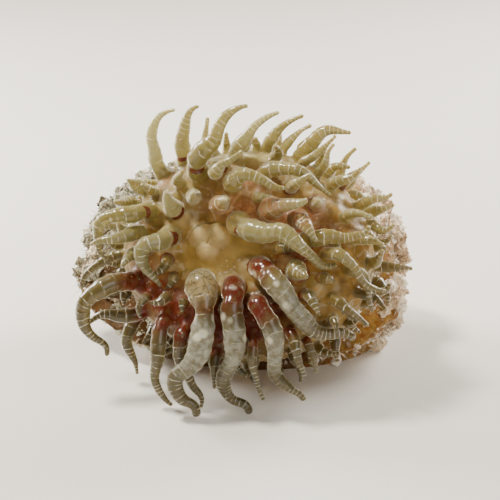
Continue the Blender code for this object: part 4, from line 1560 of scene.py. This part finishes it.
    def ring_lines(self, board: FleshBoard) -> Wire:
        """Thin lines round a tentacle, closer together towards its tip."""
        count = board.mark("ring_count") + 1.1 * board.noise(0.55)
        away = abs(count.sum("FRACT") - 0.5) * board.mark("ring_pitch")
        return (away - 0.03 * board.noise(2.3, 1.0)).rise(0.042, 0.008)

    def rings(self, board: FleshBoard, colour: Wire) -> Wire:
        """Lay the pale rings, some of them only arcs."""
        share = board.share
        arcs = board.noise(1.2, 1.0).rise(0.44, 0.56)
        bunches = board.noise(0.4, 0.0).rise(0.4, 0.52).most(share.rise(0.45, 0.7))
        strength = board.tube * share.rise(0.14, 0.24) * (1.0 - 0.4 * share.rise(0.55, 0.9))
        strength *= 1.0 - 0.8 * board.milk.most(board.mark("maroon")).held()
        lines = self.ring_lines(board) * strength * (0.3 + 0.7 * bunches) * (0.1 + 0.85 * arcs)
        return board.mix(lines, colour, self.cream_and_rim_light)

    def crescents(self, board: FleshBoard, colour: Wire) -> Wire:
        """Lay the dark crescent above a bulb, on the side that faces the disc."""
        width = board.facing.rise(-0.1, 0.95)
        near = abs(board.mark("waist") + 0.34 * width - 0.08) / (0.02 + 0.25 * width)
        crescent = board.mark("band") * (width * 5.0).held() * near.rise(1.0, 0.7) * (0.7 + 0.5 * board.fine)
        return board.mix(crescent.held(), colour, self.crimson)

    def speckles(self, board: FleshBoard, colour: Wire) -> Wire:
        """Scatter small pale spots, and large soft ones on the milky tentacles."""
        small = board.spots(0.9, 0.075, 0.035) * board.bare * 0.7
        specks = board.spots(1.7, 0.13, 0.06) * board.noise(0.5, 1.0).rise(0.40, 0.56) * 0.75
        large = board.spots(0.6, 0.36, 0.12) * board.mark("blaze") * 0.85
        return board.mix(small.most(large).most(specks), colour, self.cream_and_rim_light)


@dataclass(frozen=True)
class GritFinish:
    """Mineral grains and dust stuck to the column, each grain in its own tone."""

    name: str
    pale: tuple
    mid: tuple
    dark: tuple
    roughness: float = 0.55
    speckled: float = 0.35

    def material(self) -> bpy.types.Material:
        """Make the material."""
        made = bpy.data.materials.new(self.name)
        made.use_nodes = True
        board = PaintBoard(made.node_tree)
        tone, speckle = board.mark("tone"), board.noise(9.0)
        colour = board.mix(tone.rise(0.0, 0.5), self.dark, self.mid)
        colour = board.mix(tone.rise(0.35, 0.95), colour, self.pale)
        colour = board.mix(speckle.rise(0.45, 0.62) * self.speckled, colour, self.mid)
        colour = board.mix(board.noise(2.2, 3.0, 0.7).rise(0.5, 0.66) * self.speckled, colour, self.dark)
        shader = board.node("ShaderNodeBsdfPrincipled", {}, {
            "Base Color": colour, "Roughness": self.roughness + 0.25 * speckle,
            "Subsurface Weight": 0.2, "Subsurface Radius": (1.0, 0.9, 0.75), "Subsurface Scale": 0.0002})
        board.node("ShaderNodeOutputMaterial", {}, {"Surface": shader.outputs[0]})
        return made


class GrainBoard(Board):
    """A board that wires a tree of grains."""

    def named(self, name: str, kind: str = "FLOAT_VECTOR") -> Wire:
        """Read a named attribute."""
        return self.wire("GeometryNodeInputNamedAttribute", {"data_type": kind}, {"Name": name})

    def stored(self, geometry: Wire | bpy.types.NodeSocket, name: str, value: Wire | bpy.types.NodeSocket,
               kind: str, domain: str) -> Wire:
        """Store a named attribute on some geometry."""
        return self.wire("GeometryNodeStoreNamedAttribute", {"data_type": kind, "domain": domain},
                         {"Geometry": geometry, "Name": name, "Value": value})

    def drawn(self, low: bpy.types.NodeSocket | tuple, high: bpy.types.NodeSocket | tuple,
              seed: bpy.types.NodeSocket | int) -> Wire:
        """Draw a vector at random between two."""
        return self.wire("FunctionNodeRandomValue", {"data_type": "FLOAT_VECTOR"},
                         {0: low, 1: high, "Seed": seed})


@dataclass(frozen=True)
class GritLayer:
    """One layer of grains scattered over the skin where one of its marks says so."""

    name: str
    mark: str
    finish: GritFinish
    density: float
    smallest: tuple[float, float, float]
    largest: tuple[float, float, float]
    upright: float
    seed: int
    jag: float = 0.5
    sides: int = 0
    detail: int = 1

    patch = 0.003
    jag_scale = 2600.0
    spin_seed, tone_seed = 5, 11
    inputs = {"Density": "Float", "Smallest": "Vector", "Largest": "Vector", "Upright": "Float",
              "Jag": "Float", "Seed": "Int"}

    def grain(self, board: GrainBoard) -> Wire:
        """Make one grain: a cone where it has sides, or else a small ball."""
        if self.sides:
            grain = board.node("GeometryNodeMeshCone", {"fill_type": "TRIANGLE_FAN"}, {
                "Vertices": self.sides, "Radius Top": 0.15, "Radius Bottom": 1.0, "Depth": 1.0})
        else:
            grain = board.node("GeometryNodeMeshIcoSphere", {}, {"Radius": 1.0, "Subdivisions": self.detail})
        return board.stored(grain.outputs["Mesh"], "grain_place", grain.outputs["UV Map"], "FLOAT_VECTOR",
                            "CORNER")

    def tree(self) -> bpy.types.NodeTree:
        """Wire the tree that scatters, shapes and dresses the grains."""
        tree = bpy.data.node_groups.new(self.name, "GeometryNodeTree")
        tree.interface.new_socket("Geometry", in_out="OUTPUT", socket_type="NodeSocketGeometry")
        for name, kind in {"Geometry": "Geometry", **self.inputs}.items():
            tree.interface.new_socket(name, in_out="INPUT", socket_type="NodeSocket" + kind)
        board = GrainBoard(tree)
        given = board.node("NodeGroupInput").outputs
        density = board.named(self.mark, "FLOAT") * Wire(board, given["Density"])
        spread = board.node("GeometryNodeDistributePointsOnFaces", {"distribute_method": "RANDOM"},
                            {"Mesh": given["Geometry"], "Density": density, "Seed": given["Seed"]})
        loose = board.wire("FunctionNodeEulerToRotation", {}, {
            0: board.drawn((-math.pi,) * 3, (math.pi,) * 3, self.spin_seed)})
        lean = board.wire("FunctionNodeAlignRotationToVector", {"axis": "Z"}, {
            "Rotation": loose, "Factor": given["Upright"], "Vector": spread.outputs["Normal"]})
        placed = board.wire("GeometryNodeInstanceOnPoints", {}, {
            "Points": spread.outputs["Points"], "Instance": self.grain(board), "Rotation": lean,
            "Scale": board.drawn(given["Smallest"], given["Largest"], given["Seed"])})
        tone = board.wire("FunctionNodeRandomValue", {"data_type": "FLOAT"}, {"Seed": self.tone_seed}, 1)
        toned = board.stored(placed, "tone", tone, "FLOAT", "INSTANCE")
        real = board.wire("GeometryNodeRealizeInstances", {}, {0: toned})
        rough = board.wire("ShaderNodeTexNoise", {}, {
            "Vector": board.wire("GeometryNodeInputPosition"), "Scale": self.jag_scale,
            "Detail": self.detail - 1.0}, "Color")
        push = board.scaled(board.vector("SUBTRACT", rough, (0.5, 0.5, 0.5)), Wire(board, given["Jag"]) * MM)
        shaped = board.wire("GeometryNodeSetPosition", {}, {"Geometry": real, "Offset": push})
        patch = board.vector("ADD", board.named("unwrap"),
                             board.scaled(board.named("grain_place"), self.patch))
        mapped = board.stored(shaped, "OFBake", patch, "FLOAT2", "CORNER")
        dressed = board.wire("GeometryNodeSetMaterial", {},
                             {"Geometry": mapped, "Material": self.finish.material()})
        board.node("NodeGroupOutput", {}, {0: dressed})
        return tree

    def scatter(self, skin: bpy.types.Object) -> bpy.types.Object:
        """Scatter the grains over the skin.

        Args:
            skin: The skin, which is left as it is.

        Returns:
            The layer's own object, a plain mesh in metres with nothing under the floor.
        """
        ground = put_in_scene(self.name + "_ground", skin.data.copy())
        modifier = ground.modifiers.new(self.name, "NODES")
        modifier.node_group = self.tree()
        values = {"Density": self.density / MM ** 2, "Smallest": [size * MM for size in self.smallest],
                  "Largest": [size * MM for size in self.largest], "Upright": self.upright, "Jag": self.jag,
                  "Seed": self.seed}
        for item in modifier.node_group.interface.items_tree:
            if item.in_out == "INPUT" and item.name in values:
                modifier[item.identifier] = values[item.name]
        mesh = bpy.data.meshes.new_from_object(ground.evaluated_get(bpy.context.evaluated_depsgraph_get()))
        mesh.name = self.name
        places = np.zeros(3 * len(mesh.vertices))
        mesh.vertices.foreach_get("co", places)
        places[2::3] = np.maximum(places[2::3], 0.0)
        mesh.vertices.foreach_set("co", places)
        grains = put_in_scene(self.name, mesh)
        ground.modifiers.remove(modifier)
        bpy.data.objects.remove(ground, do_unlink=True)
        LOG.info("%s: %d triangles", self.name, sum(len(face.vertices) - 2 for face in mesh.polygons))
        return grains


CRUST_FINISH = GritFinish("crust_grit", paint(250, 240, 222), paint(214, 190, 158), paint(118, 88, 56))
LUMP_FINISH = GritFinish("crust_lumps", paint(252, 244, 226), paint(222, 198, 164), paint(150, 112, 70), 0.6,
                         0.6)
DUST_FINISH = GritFinish("dust_grit", paint(224, 220, 200), paint(166, 158, 130), paint(92, 80, 52), 0.75)
WOOL_FINISH = GritFinish("dust_wool", paint(204, 200, 178), paint(150, 140, 112), paint(74, 58, 32), 0.85,
                         0.8)
GRIT_LAYERS = (
    GritLayer("crust", "grit", CRUST_FINISH, 18.0, (0.04, 0.04, 0.03), (0.19, 0.19, 0.14), 0.3, 3),
    GritLayer("chips", "grit", CRUST_FINISH, 2.2, (0.16, 0.14, 0.10), (0.50, 0.42, 0.30), 0.2, 31, 0.8),
    GritLayer("lumps", "grit", LUMP_FINISH, 0.55, (0.45, 0.38, 0.32), (1.35, 1.15, 0.95), 0.2, 51, 1.7, 0, 3),
    GritLayer("splinters", "grit", CRUST_FINISH, 3.0, (0.03, 0.03, 0.25), (0.07, 0.06, 1.1), 0.5, 41, 0.3, 4),
    GritLayer("dust", "fuzz", DUST_FINISH, 20.0, (0.03, 0.03, 0.03), (0.17, 0.16, 0.14), 0.2, 8),
    GritLayer("tufts", "fuzz", DUST_FINISH, 3.4, (0.14, 0.12, 0.10), (0.48, 0.42, 0.36), 0.2, 33, 1.0),
    GritLayer("wool", "fuzz", WOOL_FINISH, 0.7, (0.45, 0.40, 0.34), (1.35, 1.15, 0.95), 0.2, 61, 1.7, 0, 3),
    GritLayer("fluff", "fuzz", DUST_FINISH, 30.0, (0.014, 0.014, 0.25), (0.035, 0.035, 0.9), 0.45, 21, 0.3,
              3),
    GritLayer("long_fluff", "fuzz", DUST_FINISH, 8.0, (0.014, 0.014, 0.7), (0.035, 0.035, 1.9), 0.5, 27, 0.5,
              3),
)


@dataclass(frozen=True)
class Lamp:
    """One soft, square lamp: its name, where it hangs, its side in millimetres, its watts and its colour."""

    name: str
    place: tuple[float, float, float]
    side: float
    power: float
    colour: tuple[float, float, float]


LAMPS = (Lamp("key", (-90.0, 10.0, 210.0), 40.0, 0.85, (1.0, 0.97, 0.9)),
         Lamp("fill", (110.0, -190.0, 130.0), 160.0, 0.22, (0.95, 0.97, 1.0)),
         Lamp("back_right", (150.0, 130.0, 120.0), 110.0, 1.1, (1.0, 0.98, 0.94)),
         Lamp("back_left", (-170.0, 100.0, 90.0), 90.0, 1.1, (1.0, 0.98, 0.94)))


@dataclass(frozen=True)
class Studio:
    """The plain pale floor, the soft lights and the camera."""

    target: tuple[float, float, float] = (0.0, -6.0, 14.0)
    elevation: float = math.radians(22.0)
    distance: float = 152.8
    lens: float = 110.0
    clip: tuple[float, float] = (0.005, 10.0)
    floor_half: float = 900.0
    floor_colour: tuple = paint(214, 208, 196)
    sky_colour: tuple = paint(226, 226, 220)
    sky_strength: float = 0.26

    def floor(self) -> None:
        """Lay the floor."""
        half = self.floor_half * MM
        mesh = bpy.data.meshes.new("floor")
        mesh.from_pydata([(-half, -half, 0.0), (half, -half, 0.0), (half, half, 0.0), (-half, half, 0.0)], [],
                         [(0, 1, 2, 3)])
        made = bpy.data.materials.new("floor_plain")
        made.use_nodes = True
        shader = made.node_tree.nodes["Principled BSDF"]
        shader.inputs["Base Color"].default_value = self.floor_colour
        shader.inputs["Roughness"].default_value = 0.9
        mesh.materials.append(made)
        put_in_scene("floor", mesh)

    def hang(self, lamp: Lamp) -> None:
        """Hang one lamp that looks at the target."""
        data = bpy.data.lights.new(lamp.name, "AREA")
        data.energy, data.size, data.color = lamp.power, lamp.side * MM, lamp.colour
        item = put_in_scene(lamp.name, data)
        item.location = Vector(lamp.place) * MM
        away = Vector(lamp.place) - Vector(self.target)
        item.rotation_euler = away.to_track_quat("Z", "Y").to_euler()

    def camera(self) -> None:
        """Set the camera."""
        back = Vector((0.0, -math.cos(self.elevation), math.sin(self.elevation)))
        data = bpy.data.cameras.new("camera")
        data.lens = self.lens
        data.clip_start, data.clip_end = self.clip
        item = put_in_scene("camera", data)
        item.location = (Vector(self.target) + back * self.distance) * MM
        item.rotation_euler = back.to_track_quat("Z", "Y").to_euler()
        bpy.context.scene.camera = item

    def build(self) -> None:
        """Set up the whole studio."""
        self.floor()
        for lamp in LAMPS:
            self.hang(lamp)
        self.camera()
        world = bpy.data.worlds.new("soft_sky")
        world.use_nodes = True
        sky = world.node_tree.nodes["Background"].inputs
        sky["Color"].default_value, sky["Strength"].default_value = self.sky_colour, self.sky_strength
        bpy.context.scene.world = world


@dataclass
class Anemone:
    """The whole animal: its shapes, its skin and its grit."""

    collar: CollarShape = field(default_factory=CollarShape)
    finish: FleshFinish = field(default_factory=FleshFinish)
    layers: tuple[GritLayer, ...] = GRIT_LAYERS

    def build(self, nodes: Sequence[str]) -> None:
        """Build the animal and let it stand for the solids.

        Args:
            nodes: Names of all the solids.
        """
        column = ColumnShape(self.collar)
        growth = TentacleField(self.collar, column)
        paths = growth.settle()
        LOG.info("tentacles: %d, tips off their solids by %.3f mm", len(paths), growth.compare(paths))
        tentacles, paths = BudBed(self.collar).sow(growth.tentacles, paths)
        LOG.info("buds: %d", len(paths) - len(growth.tentacles))
        skin = Skin(Body(self.collar, column), tentacles).build(paths)
        skin.data.materials.append(self.finish.material())
        for layer in self.layers:
            grains = layer.scatter(skin)
            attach(grains, "root")
        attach(skin, "root")
        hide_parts(*nodes)


def main() -> None:
    """Load the frame, build the looks and note the sizes."""
    logging.basicConfig(level=logging.INFO, format="%(name)s: %(message)s")
    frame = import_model()
    Studio().build()
    Anemone().build([part["node"] for part in frame["record"]["subparts"]])


if __name__ == "__main__":
    main()
